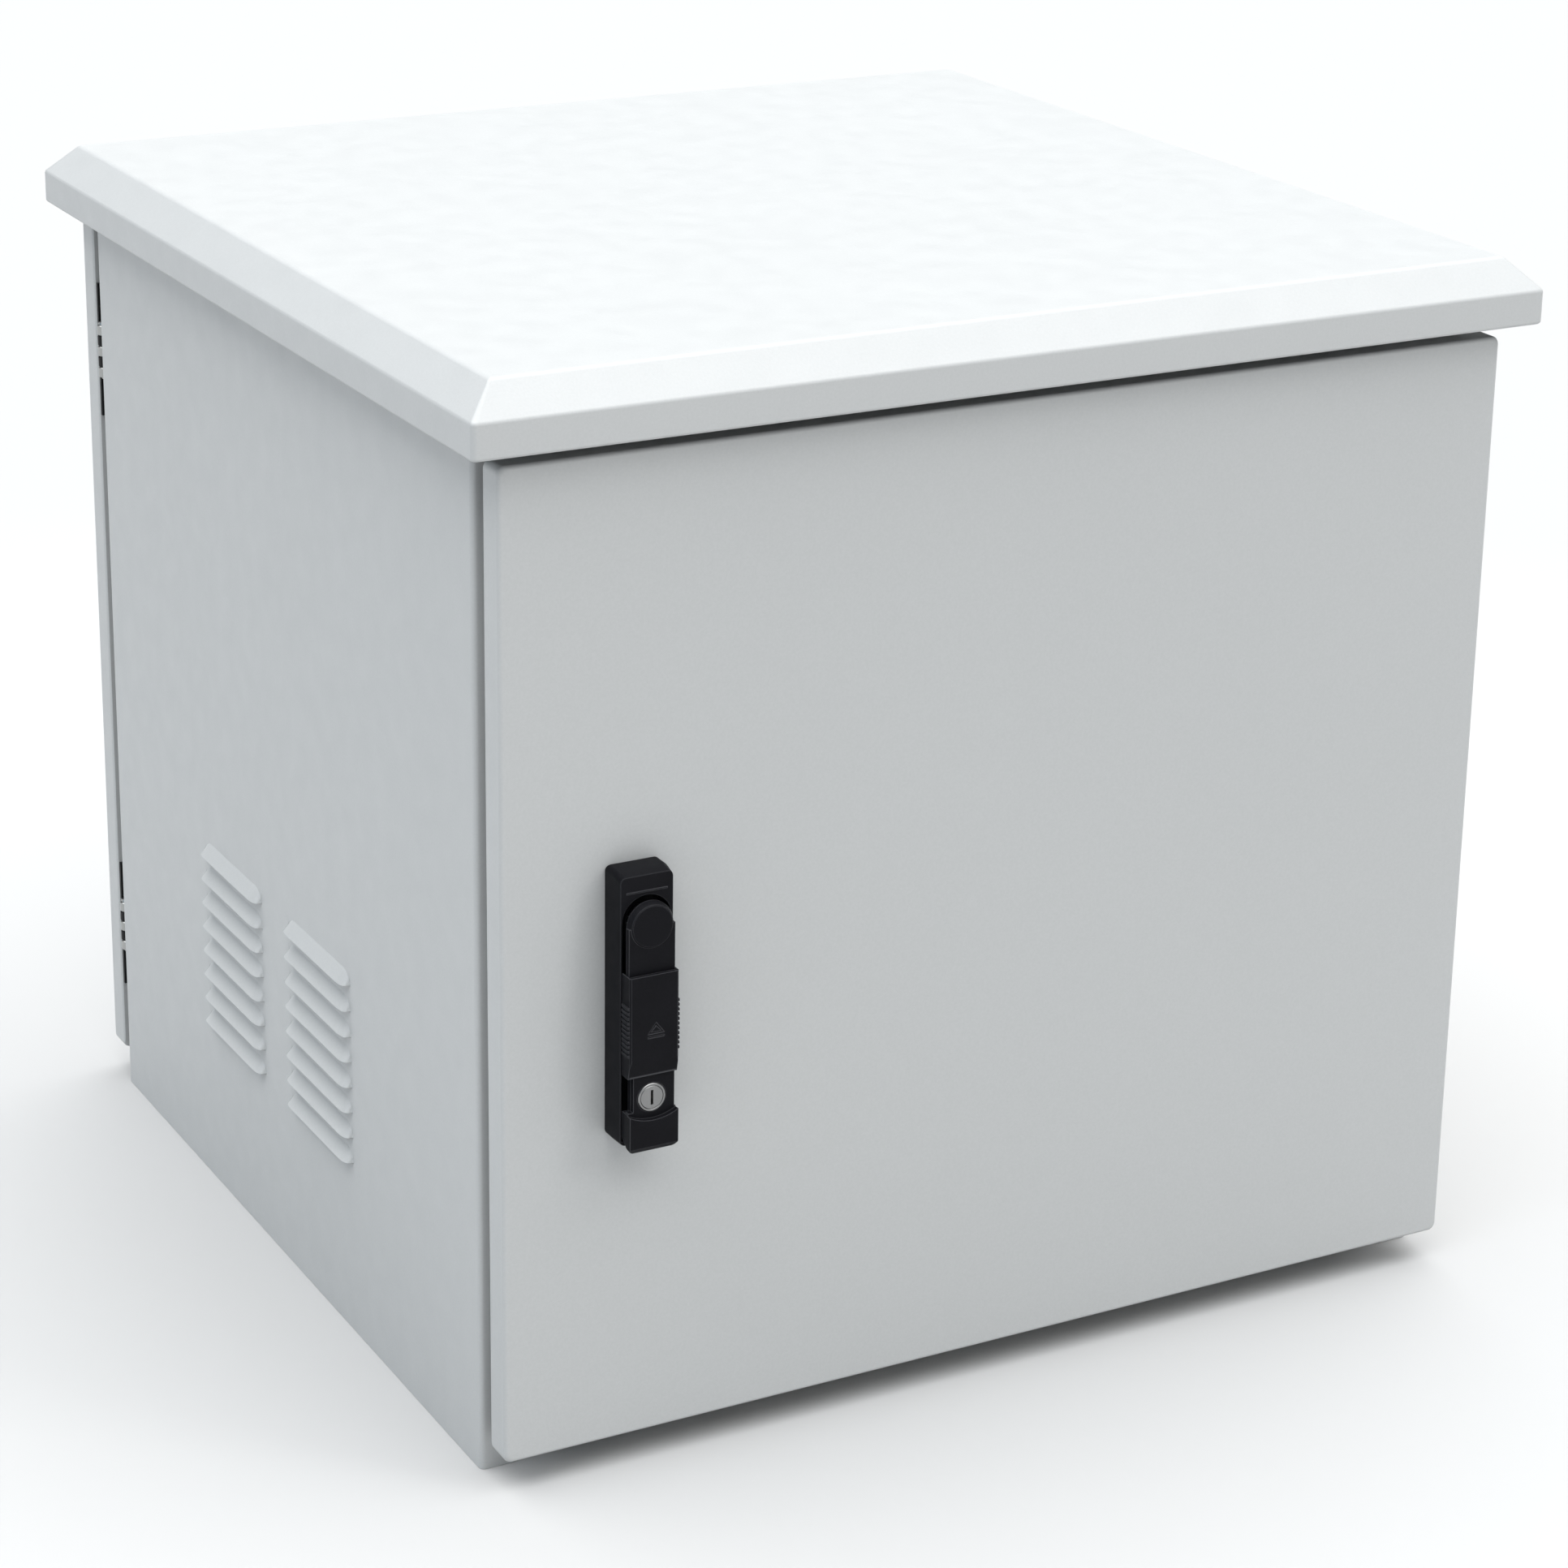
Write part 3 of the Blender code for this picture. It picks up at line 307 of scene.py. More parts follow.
def combine(target, tool, operation):
    modifier = target.modifiers.new("combine", "BOOLEAN")
    modifier.operation = operation
    modifier.solver = "EXACT"
    modifier.object = tool
    bake(target)
    bpy.data.objects.remove(tool, do_unlink=True)


def cut(target, *stacks):
    combine(target, solid("cutter", *stacks), "DIFFERENCE")


def join(target, *stacks):
    combine(target, solid("addition", *stacks), "UNION")


def soften(obj, width, segments=3):
    """Round every edge sharper than 32 degrees."""
    modifier = obj.modifiers.new("edges", "BEVEL")
    modifier.width = width
    modifier.segments = segments
    modifier.limit_method = "ANGLE"
    modifier.angle_limit = math.radians(32)
    modifier.miter_outer = "MITER_ARC"
    bake(obj)


def weigh_normals(obj):
    """Keep the large faces flat and let only the rounded edges turn the light."""
    modifier = obj.modifiers.new("normals", "WEIGHTED_NORMAL")
    modifier.keep_sharp = True
    modifier.weight = 100


def finish_piece(obj, slot, body, *nodes, sharp=40):
    """Give a piece its finish, its body and the CAD nodes that it stands for."""
    obj.data.materials.clear()
    obj.data.materials.append(MATERIALS[slot])
    obj.data.shade_smooth()
    obj.data.set_sharp_from_angle(angle=math.radians(sharp))
    weigh_normals(obj)
    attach(obj, body)
    if nodes:
        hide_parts(*nodes)


def rounded_rect(half_u, half_v, radius, segments=6):
    points = []
    for corner, (side_u, side_v) in enumerate(((1, 1), (-1, 1), (-1, -1), (1, -1))):
        for step in range(segments + 1):
            angle = math.pi / 2 * (corner + step / segments)
            points.append((side_u * (half_u - radius) + radius * math.cos(angle),
                           side_v * (half_v - radius) + radius * math.sin(angle)))
    return points


def circle(radius, segments):
    return [(radius * math.cos(math.tau * i / segments), radius * math.sin(math.tau * i / segments))
            for i in range(segments)]


def along_x(points, x, y, z):
    return [(x, y + u, z + v) for u, v in points]


def along_y(points, x, y, z):
    return [(x + u, y, z + v) for u, v in points]


def along_z(points, x, y, z):
    return [(x + u, y + v, z) for u, v in points]


def box_loops(low, high):
    corners = ((low[0], low[1]), (high[0], low[1]), (high[0], high[1]), (low[0], high[1]))
    return [[(x, y, low[2]) for x, y in corners], [(x, y, high[2]) for x, y in corners]]


def turned(place, centre, steps, segments=48):
    """Loops of a turned piece: steps are (radius, level) pairs along the placing axis."""
    axis = {along_x: 0, along_y: 1, along_z: 2}[place]
    loops = []
    for radius, level in steps:
        middle = list(centre)
        middle[axis] += level
        loops.append(place(circle(radius, segments), *middle))
    return loops


def round_profile(points, segments):
    """Replace each corner (u, v, radius) of an open line with an arc."""
    made = []
    for i, (u, v, radius) in enumerate(points):
        here = Vector((u, v))
        if radius == 0 or i in (0, len(points) - 1):
            made.append((u, v))
            continue
        back = (Vector(points[i - 1][:2]) - here).normalized()
        ahead = (Vector(points[i + 1][:2]) - here).normalized()
        half = back.angle(ahead) / 2
        centre = here + (back + ahead).normalized() * (radius / math.sin(half))
        start = here + back * (radius / math.tan(half)) - centre
        end = here + ahead * (radius / math.tan(half)) - centre
        for step in range(segments + 1):
            arm = start.lerp(end, step / segments).normalized()
            made.append(tuple(centre + arm * radius))
    return made


def quarter_fold(radius):
    """Offsets (inwards, backwards) around a rounded fold, from the far face to the near edge."""
    turns = [math.pi / 2 * i / FOLD_STEPS for i in range(FOLD_STEPS + 1)]
    return [(radius * (1 - math.sin(turn)), radius * (1 - math.cos(turn))) for turn in turns]


# ---------------------------------------------------------------- side panels
def panel_path():
    """Stations (x, y, hood share) along the left panel, rear return to front return."""
    fold = quarter_fold(FOLD)
    returns = (SIDE_RETURN - BODY_X, FOLD * 1.6 - BODY_X)
    flat_y = BODY_Y - FOLD * 1.8
    stations = [(x, BODY_Y, 0.0) for x in returns]
    stations += [(inward - BODY_X, BODY_Y - backward, 0.0) for inward, backward in fold]
    stations.append((-BODY_X, flat_y, 0.0))
    straight = LOUVRE_LENGTH / 2 - LOUVRE_END
    tip = LOUVRE_LENGTH / 2 + LOUVRE_MARGIN
    turns = [math.radians(angle) for angle in (0, 14, 28, 42, 55, 67, 77, 84)]
    for column in sorted(LOUVRE_COLUMNS, reverse=True):
        stations += [(-BODY_X, column + tip + LOUVRE_BORDER, 0.0), (-BODY_X, column + tip, 0.0)]
        stations += [(-BODY_X, column + straight + LOUVRE_END * math.sin(turn), math.cos(turn))
                     for turn in reversed(turns)]
        stations += [(-BODY_X, column + straight * part, 1.0) for part in (0.5, 0.0, -0.5)]
        stations += [(-BODY_X, column - straight - LOUVRE_END * math.sin(turn), math.cos(turn))
                     for turn in turns]
        stations += [(-BODY_X, column - tip, 0.0), (-BODY_X, column - tip - LOUVRE_BORDER, 0.0)]
    stations.append((-BODY_X, -flat_y, 0.0))
    stations += [(inward - BODY_X, backward - BODY_Y, 0.0) for inward, backward in reversed(fold)]
    stations += [(x, -BODY_Y, 0.0) for x in reversed(returns)]
    return stations


def panel_rows():
    """Rows (lip level, rise, reach) of the panel; a hood goes from its lip (rise 0) to its root (rise 1)."""
    slope = ((1.0, 0.0), (0.95, 0.022), (0.88, 0.085), (0.6, 0.38), (0.3, 0.69), (0.06, 0.94), (0.0, 1.0))
    margin = 0.02
    levels = [BODY_Z, BODY_Z - 0.004, LOUVRE_TOP + margin]
    rows = [(level, 0.0, 0.0) for level in levels]
    for i in range(LOUVRE_COUNT):
        lip = LOUVRE_TOP - LOUVRE_PITCH * i - LOUVRE_HEIGHT
        rows += [(lip, rise, reach) for rise, reach in slope]
        rows += [(lip - 0.0004, 0.0, 0.0), (lip - 0.0030, 0.0, 0.0)]
    levels = [LOUVRE_TOP - LOUVRE_PITCH * LOUVRE_COUNT - margin, 0.004, 0.0]
    return rows + [(level, 0.0, 0.0) for level in levels]


def side_panel(name, node, mirror):
    """Folded side sheet with pressed louvres: flat hoods that run out at both ends and open downwards."""
    depth = -BODY_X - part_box("left_side_panel")[0].x
    bm = bmesh.new()
    rows = panel_rows()
    stations = panel_path()
    grid = []
    for x, y, share in stations:
        height = LOUVRE_HEIGHT * (share if share > 0 else 1.0)
        outward = depth * math.sqrt(share)
        grid.append([bm.verts.new((x - outward * reach, y, level + height * rise))
                     for level, rise, reach in rows])
    for i in range(len(stations) - 1):
        hooded = stations[i][2] > 0.0 and stations[i + 1][2] > 0.0
        for j in range(len(rows) - 1):
            below_lip = rows[j][2] == 1.0
            if below_lip and hooded:
                continue
            bm.faces.new((grid[i][j], grid[i + 1][j], grid[i + 1][j + 1], grid[i][j + 1]))
    bmesh.ops.recalc_face_normals(bm, faces=bm.faces)
    panel = object_of(name, bm)
    probe = min(panel.data.polygons, key=lambda face: face.center.y)
    if probe.normal.y > 0:
        panel.data.flip_normals()
    thick = panel.modifiers.new("sheet", "SOLIDIFY")
    thick.thickness = SHEET
    thick.offset = -1.0
    bake(panel)
    if mirror:
        panel.data.transform(Matrix.Scale(-1, 4, (1, 0, 0)))
        panel.data.flip_normals()
    finish_piece(panel, PAINT, "cabinet", node, sharp=50)


# ---------------------------------------------------------------- roof
def roof():
    """Canopy with rounded folds, mitred bevels and an inward lip."""
    half_x, half_y = roof_high.x, roof_high.y
    bottom, top = roof_low.z, roof_high.z
    rim_top = bottom + ROOF_RIM
    slip = SHEET * (math.sqrt(2) - 1)
    sharp_corner = 0.0012
    outside = round_profile(((ROOF_BEVEL + ROOF_FLAT, top, 0.0), (ROOF_BEVEL, top, 0.0050),
                             (0.0, rim_top, 0.0030), (0.0, bottom, 0.0018), (ROOF_LIP, bottom, 0.0)), 6)
    inside = ((ROOF_LIP, bottom + SHEET), (SHEET * 1.4, bottom + SHEET), (SHEET, bottom + SHEET * 1.4),
              (SHEET, rim_top - slip), (ROOF_BEVEL + slip, top - SHEET), (ROOF_BEVEL + ROOF_FLAT, top - SHEET))
    loops = []
    for inset, z in outside:
        radius = max(sharp_corner, 0.0030 - 0.10 * inset)
        loops.append(along_z(rounded_rect(half_x - inset, half_y - inset, radius), 0, 0, z))
    for inset, z in inside:
        loops.append(along_z(rounded_rect(half_x - inset, half_y - inset, sharp_corner), 0, 0, z))
    finish_piece(solid("roof_sheet", loops), PAINT, "cabinet", "roof_canopy")


# ---------------------------------------------------------------- doors
def door(word, rear):
    """Door pan with a rolled front edge, deep flanges and an inward hem."""
    back = DOOR_FACE - (door_high.y - door_low.y)
    half_x = door_high.x
    half_z = (door_high.z - door_low.z) / 2
    centre_z = (door_high.z + door_low.z) / 2
    outside = [(inward, DOOR_FACE - backward) for inward, backward in quarter_fold(DOOR_FOLD)]
    outside += [(0.0, back + 0.0016), (0.0003, back + 0.0007), (0.0010, back)]
    inside = [(DOOR_HEM, back), (DOOR_HEM, back + SHEET), (SHEET, back + SHEET), (SHEET, DOOR_FACE - SHEET)]
    loops = []
    for levels, radius in ((outside, DOOR_CORNER), (inside, DOOR_CORNER - SHEET)):
        for inset, depth in levels:
            outline = rounded_rect(half_x - inset, half_z - inset, radius)
            loops.append(along_y(outline, 0, -depth, centre_z))
    panel = solid(word + "_door_sheet", loops)
    if rear:
        lock = JOINTS["rear_lock_turn"]["pos_m"]
        cut(panel, turned(along_y, (-lock[0], -DOOR_FACE, lock[2]), ((0.0105, -0.004), (0.0105, 0.004))))
        panel.data.transform(HALF_TURN)
    else:
        cut(panel, turned(along_y, (HANDLE_X, -DOOR_FACE, BOSS_Z), ((0.0070, -0.004), (0.0070, 0.004))))
    finish_piece(panel, PAINT, word + "_door", word + "_door_panel")


# ---------------------------------------------------------------- hinges
def knuckles_at(axis_x, axis_y, levels):
    half = KNUCKLE_HEIGHT / 2
    steps = ((KNUCKLE_RADIUS - KNUCKLE_ROUND, -half), (KNUCKLE_RADIUS, KNUCKLE_ROUND - half),
             (KNUCKLE_RADIUS, half - KNUCKLE_ROUND), (KNUCKLE_RADIUS - KNUCKLE_ROUND, half))
    return [turned(along_z, (axis_x, axis_y, level), steps, 32) for level in levels]


def leaf_plate(name, node, back_y, front_y, axis_x, centre_z, levels):
    """A hinge plate from its end away from the pin to the notches around the other leaf's knuckles."""
    notch_x = axis_x - KNUCKLE_RADIUS - 0.0005
    low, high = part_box(node)
    far_x = min(abs(low.x), abs(high.x))
    leaf = solid(name, box_loops((far_x, back_y, centre_z - LEAF_HALF),
                                 (notch_x, front_y, centre_z + LEAF_HALF)))
    half = KNUCKLE_HEIGHT / 2
    for at in levels:
        join(leaf, box_loops((notch_x - 0.001, back_y, centre_z + at - half + KNUCKLE_SHORT),
                             (axis_x - 0.001, front_y, centre_z + at + half - KNUCKLE_SHORT)))
    return leaf, notch_x


def hinge(door_word, level, rear):
    """Black leaves; the frame's three knuckles bright, the door's two black."""
    prefix = door_word + "_" + level + "_hinge_"
    turn = HALF_TURN if rear else Matrix.Identity(4)
    axis = JOINTS[door_word + "_door_hinge"]["pos_m"]
    axis_x, axis_y = abs(axis[0]), -abs(axis[1])
    low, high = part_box(prefix + "frame_leaf")
    centre_z = (low.z + high.z) / 2
    frame_levels = (-2 * KNUCKLE_PITCH, 0.0, 2 * KNUCKLE_PITCH)
    door_levels = (-KNUCKLE_PITCH, KNUCKLE_PITCH)

    frame_front = -BODY_Y - GAP
    frame_back = frame_front - LEAF_THICKNESS
    frame_leaf, _ = leaf_plate(prefix + "frame_plate", prefix + "frame_leaf", frame_back, frame_front,
                               axis_x, centre_z, frame_levels)
    door_back = -DOOR_FACE + (door_high.y - door_low.y) + GAP
    door_front = door_back + LEAF_THICKNESS
    door_leaf, notch_x = leaf_plate(prefix + "door_plate", prefix + "door_leaf", door_back, door_front,
                                    axis_x, centre_z, door_levels)
    edge_x = door_high.x - 0.0012
    for tail_low, tail_high in ((-LEAF_HALF, -LEAF_TAIL), (LEAF_TAIL, LEAF_HALF)):
        join(door_leaf, box_loops((notch_x - 0.001, door_back, centre_z + tail_low),
                                  (edge_x, door_front, centre_z + tail_high)))
    join(door_leaf, *knuckles_at(axis_x, axis_y, [centre_z + at for at in door_levels]))
    knuckles = solid(prefix + "knuckles", *knuckles_at(axis_x, axis_y, [centre_z + at for at in frame_levels]))
    for leaf in (frame_leaf, door_leaf):
        soften(leaf, 0.0003, 2)
    for piece, slot, body, node in ((frame_leaf, STEEL, "cabinet", prefix + "frame_leaf"),
                                    (knuckles, ZINC, "cabinet", prefix + "frame_leaf"),
                                    (door_leaf, STEEL, door_word + "_door", prefix + "door_leaf")):
        piece.data.transform(turn)
        finish_piece(piece, slot, body, node)

    heads = [((axis_x - 0.0095, frame_back, centre_z + at), -1) for at in HINGE_SCREWS]
    screws(prefix + "frame_screws", heads, "cabinet", turn)
    heads = [((axis_x - 0.0085, door_front, centre_z + at), 1) for at in HINGE_SCREWS]
    screws(prefix + "door_screws", heads, door_word + "_door", turn)


def screws(name, places, body, turn):
    """Low domed screw heads with a cross recess, on faces that look along Y."""
    steps = ((0.0026, 0.0), (0.0026, 0.0002), (0.0023, 0.0005), (0.0015, 0.0007), (0.0006, 0.0008))
    recess_low, recess_high = 0.0004, 0.002
    long_half, short_half = 0.0014, 0.0003
    stacks = []
    for place, side in places:
        stacks.append(turned(along_y, place, [(radius, side * level) for radius, level in steps], 20))
    heads = solid(name, *stacks)
    for wide, tall in ((long_half, short_half), (short_half, long_half)):
        slots = []
        for (x, y, z), side in places:
            ends = (y + side * recess_low, y + side * recess_high)
            slots.append(box_loops((x - wide, min(ends), z - tall), (x + wide, max(ends), z + tall)))
        cut(heads, *slots)
    heads.data.transform(turn)
    finish_piece(heads, ZINC, body)


# ---------------------------------------------------------------- swing handle
def handle_y(height):
    return -DOOR_FACE - height


def at_height(points, height):
    """Points (u, z) in a plane at a height above the door."""
    return [(HANDLE_X + u, handle_y(height), z) for u, z in points]


def across(profile, half):
    """Loops of a profile (height, z) drawn across the handle."""
    return [[(HANDLE_X + u, handle_y(height), z) for height, z in profile] for u in (-half, half)]


def arch(radius, bottom, top_z, segments=40):
    """A round-headed channel's outline (u, z)."""
    points = [(-radius, bottom), (radius, bottom)]
    points += [(radius * math.cos(math.pi * i / segments), top_z + radius * math.sin(math.pi * i / segments))
               for i in range(segments + 1)]
    return points


def handle_housing():
    """Housing with a sloped top, a round-headed channel for the lever and a thin raised bar."""
    centre_z = (base_low.z + base_high.z) / 2
    half_z = (base_high.z - base_low.z) / 2
    half_x = (base_high.x - base_low.x) / 2

    def outline(inset, top_slope):
        points = rounded_rect(half_x - inset, half_z - top_slope / 2, HOUSING_CORNER)
        return [(u, centre_z - top_slope / 2 + v) for u, v in points]

    housing = solid("handle_housing", [at_height(outline(0.0, 0.0), GAP), at_height(outline(0.0, 0.0), 0.010),
                                       at_height(outline(0.0005, 0.0015), RIM_HEIGHT)])
    channel = arch(0.0138, base_low.z + 0.0026, BOSS_Z + 0.0008)
    cut(housing, [at_height(channel, level) for level in (0.006, RIM_HEIGHT + 0.002)])
    cut(housing, turned(along_y, (HANDLE_X, handle_y(0), BOSS_Z), ((0.0054, -0.010), (0.0054, 0.002))))
    soften(housing, 0.0006)
    bar_half = 0.0114
    join(housing, box_loops((HANDLE_X - bar_half, handle_y(RIM_HEIGHT + 0.0003), base_high.z - 0.0106),
                            (HANDLE_X + bar_half, handle_y(RIM_HEIGHT - 0.0005), base_high.z - 0.0098)))
    finish_piece(housing, PLASTIC, "front_door", "handle_base")


def handle_arm():
    """Swing lever: flat arm, bevelled boss and a scooped finger tip."""
    boss_centre = (HANDLE_X, handle_y(0), BOSS_Z)
    arm = solid("swing_lever_arm", box_loops((HANDLE_X - ARM_HALF, handle_y(ARM_FRONT), ARM_END),
                                             (HANDLE_X + ARM_HALF, handle_y(ARM_BACK), BOSS_Z)))
    side_relief = ((HANDLE_X - 0.0150, handle_y(0.0250), 0.2150), (HANDLE_X - 0.0103, handle_y(0.0190), 0.2350))
    cut(arm, box_loops(*side_relief))
    boss = ((0.0128, -0.0201), (0.0128, -0.0210), (0.0116, -0.0238), (0.0110, -0.0243), (0.0085, -0.0245))
    join(arm, turned(along_y, boss_centre, boss, 64))
    core_half = 0.0105
    join(arm, box_loops((HANDLE_X - core_half, handle_y(0.0205), ARM_END + 0.001),
                        (HANDLE_X + core_half, handle_y(LEVER_UNDER), 0.3030)))
    tip = ((LEVER_UNDER, TIP_TOP), (TIP_FRONT, TIP_TOP), (TIP_FRONT, 0.1960), (TIP_FRONT - 0.0022, 0.1931),
           (TIP_FRONT - 0.0052, 0.1965), (LEVER_UNDER, 0.1995))
    join(arm, across(tip, TIP_HALF))
    outline = [(u, 0.2620 + v) for u, v in rounded_rect(TIP_HALF, 0.0690, 0.0034)]
    combine(arm, solid("outline", [at_height(outline, level) for level in (0.010, 0.040)]), "INTERSECT")
    scoop_centre = (HANDLE_X, handle_y(0), TIP_TOP + 0.0240)
    cut(arm, turned(along_y, scoop_centre, ((0.0268, -0.0400), (0.0281, -ARM_FRONT)), 96))
    lock_centre = (HANDLE_X, handle_y(0), LOCK_Z)
    cut(arm, turned(along_y, lock_centre, ((0.0080, -0.0260), (0.0080, -0.0150))))
    ear_radius = 0.004
    ear = [(-0.0045, ear_radius), (-0.0045, -ear_radius)]
    ear += [(ear_radius * math.sin(math.pi * i / 10), -ear_radius * math.cos(math.pi * i / 10))
            for i in range(11)]
    join(arm, *[[along_x(ear, HANDLE_X + u, handle_y(LIFT_HEIGHT), BOSS_Z) for u in pair]
                for pair in ((-0.0095, -0.0066), (0.0066, 0.0095))])
    soften(arm, 0.0005)
    finish_piece(arm, PLASTIC, "swing_lever", "handle_lever")


def cover():
    """Sliding dust cover with thumb ribs and an engraved arrow."""
    cover_low, cover_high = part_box("lock_cover")
    front = -DOOR_FACE - cover_low.y
    inner = ARM_HALF + GAP
    edge = 0.0009
    outline = ((-COVER_HALF, LEVER_UNDER), (-COVER_HALF, front - edge), (edge - COVER_HALF, front),
               (COVER_HALF - edge, front), (COVER_HALF, front - edge), (COVER_HALF, LEVER_UNDER),
               (inner, LEVER_UNDER), (inner, COVER_BORE), (-inner, COVER_BORE), (-inner, LEVER_UNDER))
    shell = solid("dust_cover", [[(HANDLE_X + u, handle_y(height), z) for u, height in outline]
                                 for z in (cover_low.z, cover_high.z)])
    wedge = ((0.0243, 0.2300), (0.0300, 0.2300), (0.0300, 0.2607), (0.0243, 0.2336))
    cut(shell, across(wedge, 0.020))
    soften(shell, 0.0005)
    rib = rounded_rect(0.0007, 0.0038, 0.0005, 3)
    rib_levels = [0.2470 + 0.0026 * i for i in range(11)]
    join(shell, *[[along_z(rib, x, handle_y(0.0220), z + level) for level in (0.0, 0.0012)]
                  for x in (HANDLE_X - 0.0140, HANDLE_X + 0.0140) for z in rib_levels])
    mark_x, mark_z = HANDLE_X + 0.0009, 0.2582
    mark_half, mark_depth = 0.0046, 0.0004
    arrow = ((-mark_half, 0.0), (mark_half, 0.0), (0.0, 0.0060))
    arrow_inner = ((-0.0029, 0.0010), (0.0029, 0.0010), (0.0, 0.0042))
    cut(shell, [[(mark_x + u, handle_y(height), mark_z + v) for u, v in arrow]
                for height in (front - mark_depth, front + 0.001)])
    join(shell, [[(mark_x + u, handle_y(height), mark_z + v) for u, v in arrow_inner]
                 for height in (front - 2 * mark_depth, front)])
    cut(shell, box_loops((mark_x - mark_half, handle_y(front + 0.001), mark_z - 0.0022),
                         (mark_x + mark_half, handle_y(front - mark_depth), mark_z - 0.0014)))
    finish_piece(shell, PLASTIC, "dust_cover", "lock_cover")


def lock():
    """Lock face and its key barrel with an upright key slot."""
    place = (HANDLE_X, handle_y(0), LOCK_Z)
    face = ((0.0077, -0.0180), (0.0077, -0.0237), (0.0074, -0.0240), (0.0066, -0.0240), (0.0065, -0.0239),
            (0.0065, -0.0180))
    finish_piece(solid("lock_face", turned(along_y, place, face, 64), ring=True), LOCK, "swing_lever",
                 "lock_cylinder")
    plug = ((0.0063, -0.0180), (0.0063, -0.0238), (0.0061, -0.0240))
    barrel = solid("key_barrel_face", turned(along_y, place, plug, 64))
    slot_half, slot_tall = 0.0007, 0.0040
    cut(barrel, box_loops((HANDLE_X - slot_half, handle_y(0.026), LOCK_Z - slot_tall),
                          (HANDLE_X + slot_half, handle_y(0.0205), LOCK_Z + slot_tall)))
    finish_piece(barrel, LOCK, "key_barrel", "key_plug")


def rear_lock():
    """Body of the rear door's quarter-turn lock; its turning plug stays the CAD's."""
    lock_x, _, lock_z = JOINTS["rear_lock_turn"]["pos_m"]
    face = DOOR_FACE
    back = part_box("rear_lock_housing")[0].y
    steps = ((0.0138, face + GAP), (0.0140, face + 0.0005), (0.0140, face + 0.0017), (0.0137, face + 0.0021),
             (0.0117, face + 0.0037), (0.0113, face + 0.0040), (0.0074, face + 0.0040), (0.0072, face + 0.0038),
             (0.0072, back), (0.0100, back), (0.0100, face + GAP))
    housing = solid("rear_lock_body", turned(along_y, (lock_x, 0.0, lock_z), steps, 64), ring=True)
    finish_piece(housing, PLASTIC, "rear_door", "rear_lock_housing")


# ---------------------------------------------------------------- small fixings
def rail_bolts():
    """Hexagon bolts through the shelf rails into the uprights."""
    bolt_y = 0.215
    for level in ("lower", "upper"):
        for word, side in (("left", -1), ("right", 1)):
            rail_low, rail_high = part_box(level + "_shelf_rail_" + word)
            face = side * (max(abs(rail_low.x), abs(rail_high.x)) - SHEET)
            z = rail_high.z - 0.018
            washer = ((0.0052, 0.0), (0.0052, -side * 0.0009))
            head = ((0.0042, -side * 0.0009), (0.0042, -side * 0.0036), (0.0036, -side * 0.0040))
            stacks = []
            for y in (-bolt_y, bolt_y):
                stacks.append(turned(along_x, (face, y, z), washer, 32))
                stacks.append(turned(along_x, (face, y, z), head, 6))
            finish_piece(solid(level + "_rail_bolts_" + word, *stacks), ZINC, "cabinet", sharp=25)


def gland_screws():
    """Pan-head screws that hold the cable entry plate to the base."""
    low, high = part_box("gland_plate")
    margin = 0.010
    head = ((0.0045, 0.0), (0.0045, 0.0008), (0.0040, 0.0018), (0.0028, 0.0024), (0.0010, 0.0026))
    stacks = []
    for x in (low.x + margin, 0.0, high.x - margin):
        for y in (low.y + margin, high.y - margin):
            stacks.append(turned(along_z, (x, y, high.z), head, 28))
    finish_piece(solid("gland_plate_screws", *stacks), ZINC, "cabinet")


# ---------------------------------------------------------------- CAD nodes that stay
def keep_cad_nodes():
    """Give every shown CAD node its finish, with slightly broken edges."""
    for name, node in frame["nodes"].items():
        if node.hide_render:
            continue
        node.data.materials.clear()
        node.data.materials.append(MATERIALS[SLOTS[name]])
        weld = node.modifiers.new("weld", "WELD")
        weld.merge_threshold = 0.00002
        edges = node.modifiers.new("edges", "BEVEL")
        edges.width = 0.00025
        edges.segments = 2
        edges.limit_method = "ANGLE"
        edges.angle_limit = math.radians(40)
        weigh_normals(node)
        node.data.shade_smooth()


# ---------------------------------------------------------------- stage
def lay_floor():
    """A matt floor, paler around the object: painted light that lifts the object's soft shadow."""
    material = bpy.data.materials.new("pale_floor")
    material.use_nodes = True
    tree = material.node_tree
    shader = tree.nodes["Principled BSDF"]
    shader.inputs["Roughness"].default_value = 1.0
    shader.inputs["Specular IOR Level"].default_value = 0.0
    away = tree.nodes.new("ShaderNodeVectorMath")
    away.operation = "LENGTH"
    link(tree, tree.nodes.new("ShaderNodeTexCoord").outputs["Object"], away.inputs[0])
    # painted light: the floor colour is paler near the object and fades with distance
    link(tree, remap(tree, away.outputs["Value"], FLOOR_SHADOW_LIFT_FADE, FLOOR_SHADOW_LIFT_TONES), shader.inputs["Base Color"])
    floor = solid("floor", box_loops((-FLOOR_HALF, -FLOOR_HALF, FLOOR_BOTTOM),
                                     (FLOOR_HALF, FLOOR_HALF, FLOOR_TOP)))
    floor.data.materials.append(material)


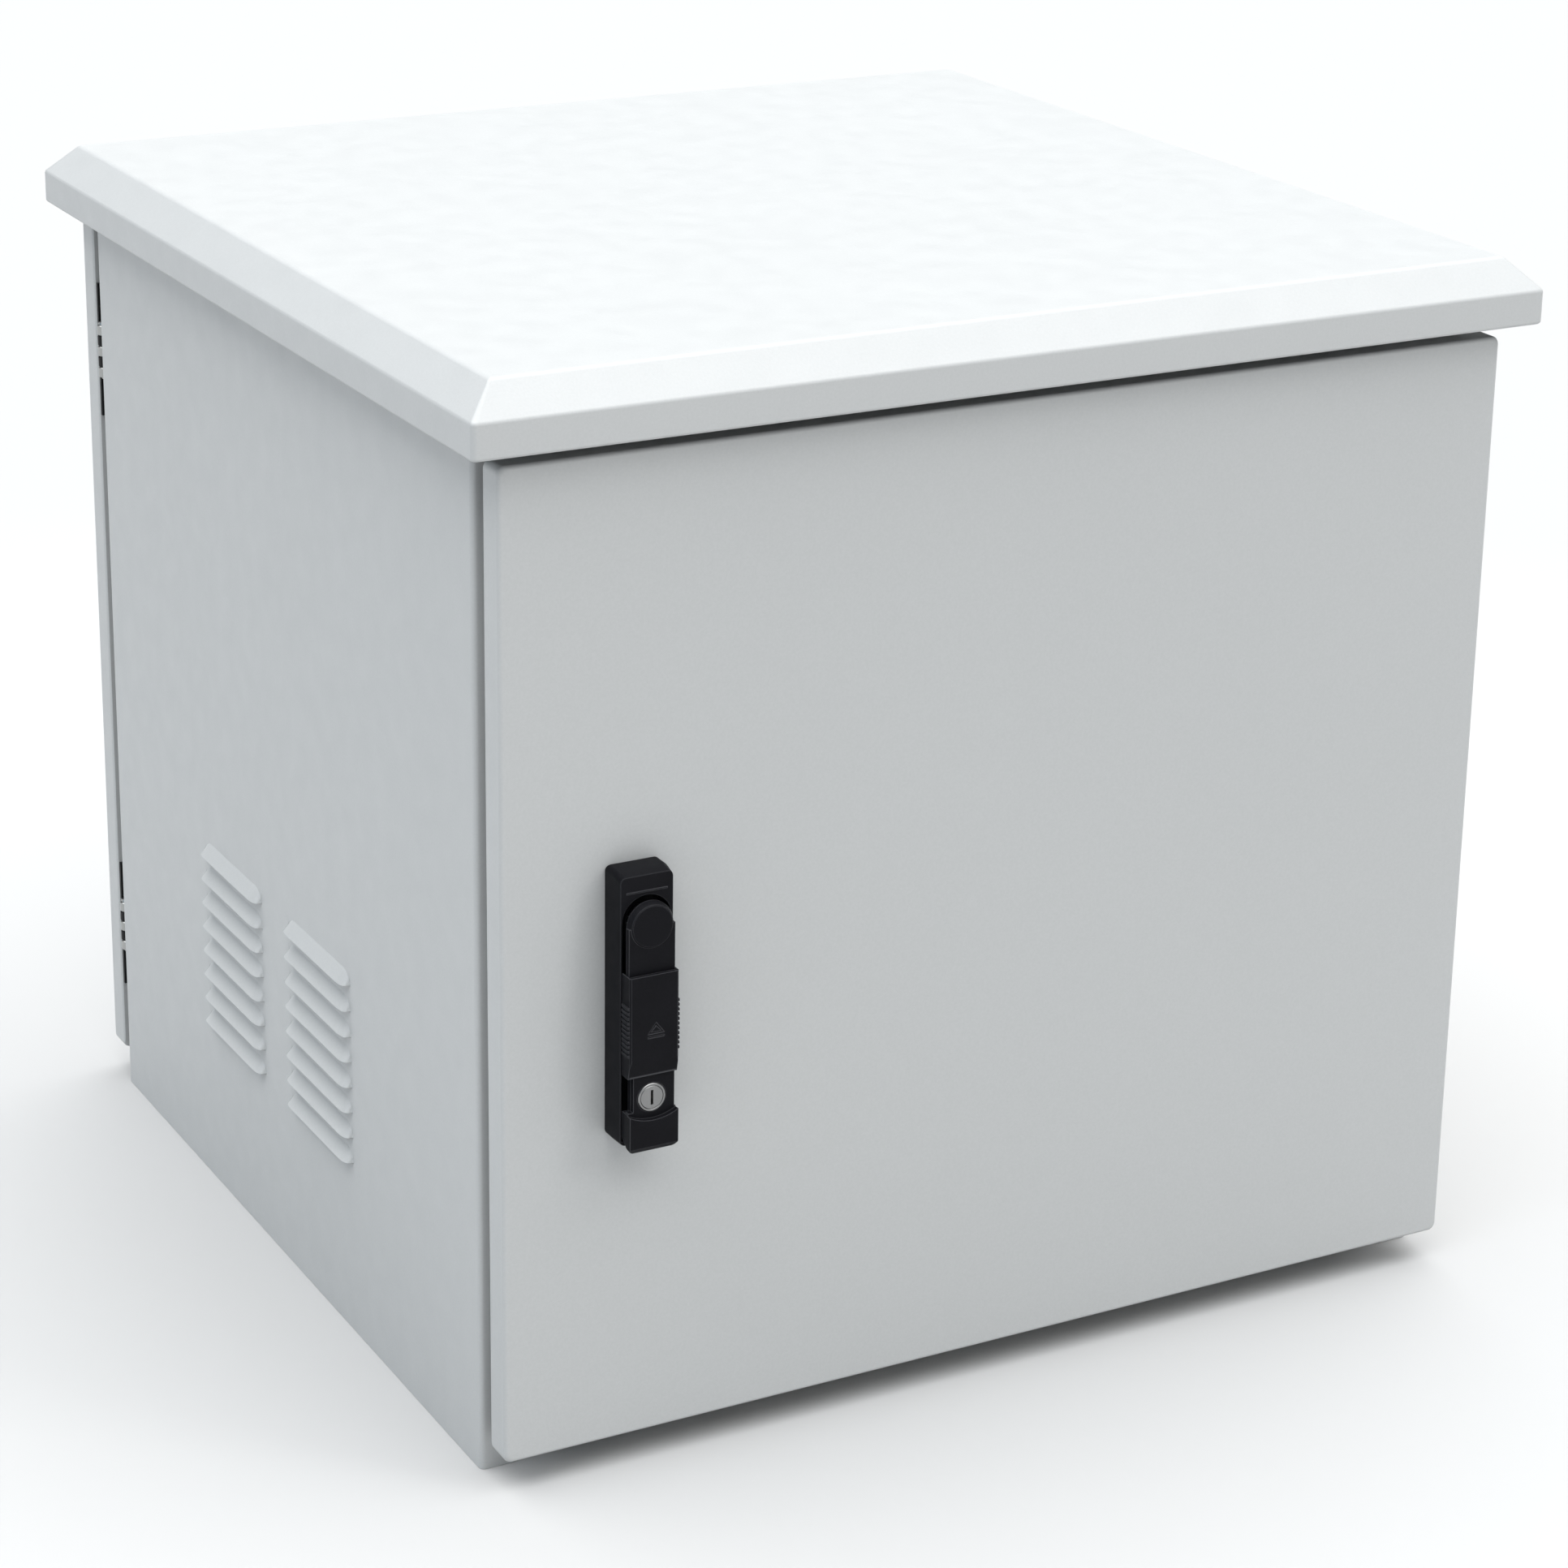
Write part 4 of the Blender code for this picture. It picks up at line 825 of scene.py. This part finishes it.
def sky():
    """A pale studio wall around the horizon, darker overhead where the lights are."""
    world = bpy.data.worlds.new("studio")
    bpy.context.scene.world = world
    world.use_nodes = True
    tree = world.node_tree
    background = tree.nodes["Background"]
    split = tree.nodes.new("ShaderNodeSeparateXYZ")
    link(tree, tree.nodes.new("ShaderNodeTexCoord").outputs["Generated"], split.inputs["Vector"])
    link(tree, remap(tree, split.outputs["Z"], SKY_FADE, SKY_STRENGTHS), background.inputs["Strength"])
    background.inputs["Color"].default_value = SKY_COLOUR


def soft_light(name, towards, strength, softness, colour):
    """A studio light far enough away to be even over the floor."""
    data = bpy.data.lights.new(name, "SUN")
    data.energy = strength
    data.angle = math.radians(softness)
    data.color = colour
    light = bpy.data.objects.new(name, data)
    bpy.context.scene.collection.objects.link(light)
    light.location = Vector(towards) * LIGHT_DISTANCE
    light.rotation_mode = "QUATERNION"
    light.rotation_quaternion = Vector(towards).to_track_quat("Z", "Y")


def place_camera():
    data = bpy.data.cameras.new("camera")
    data.lens = CAMERA_LENS
    data.sensor_width = CAMERA_SENSOR
    data.shift_y = CAMERA_SHIFT
    data.clip_start = 0.1
    data.clip_end = 100.0
    obj = bpy.data.objects.new("camera", data)
    bpy.context.scene.collection.objects.link(obj)
    obj.location = CAMERA_PLACE
    right = Vector(CAMERA_RIGHT)
    up = Vector(CAMERA_UP)
    back = right.cross(up)
    obj.rotation_mode = "QUATERNION"
    obj.rotation_quaternion = Matrix((right, up, back)).transposed().to_quaternion()
    bpy.context.scene.camera = obj


side_panel("left_side_sheet", "left_side_panel", False)
side_panel("right_side_sheet", "right_side_panel", True)
roof()
for word, rear in (("front", False), ("rear", True)):
    door(word, rear)
    for level in ("lower", "upper"):
        hinge(word, level, rear)
handle_housing()
handle_arm()
cover()
lock()
rear_lock()
rail_bolts()
gland_screws()
keep_cad_nodes()

lay_floor()
sky()
for light_name, towards, strength, softness, colour in LIGHTS:
    soft_light(light_name, towards, strength, softness, colour)
bpy.context.scene.view_settings.view_transform = "Standard"
place_camera()
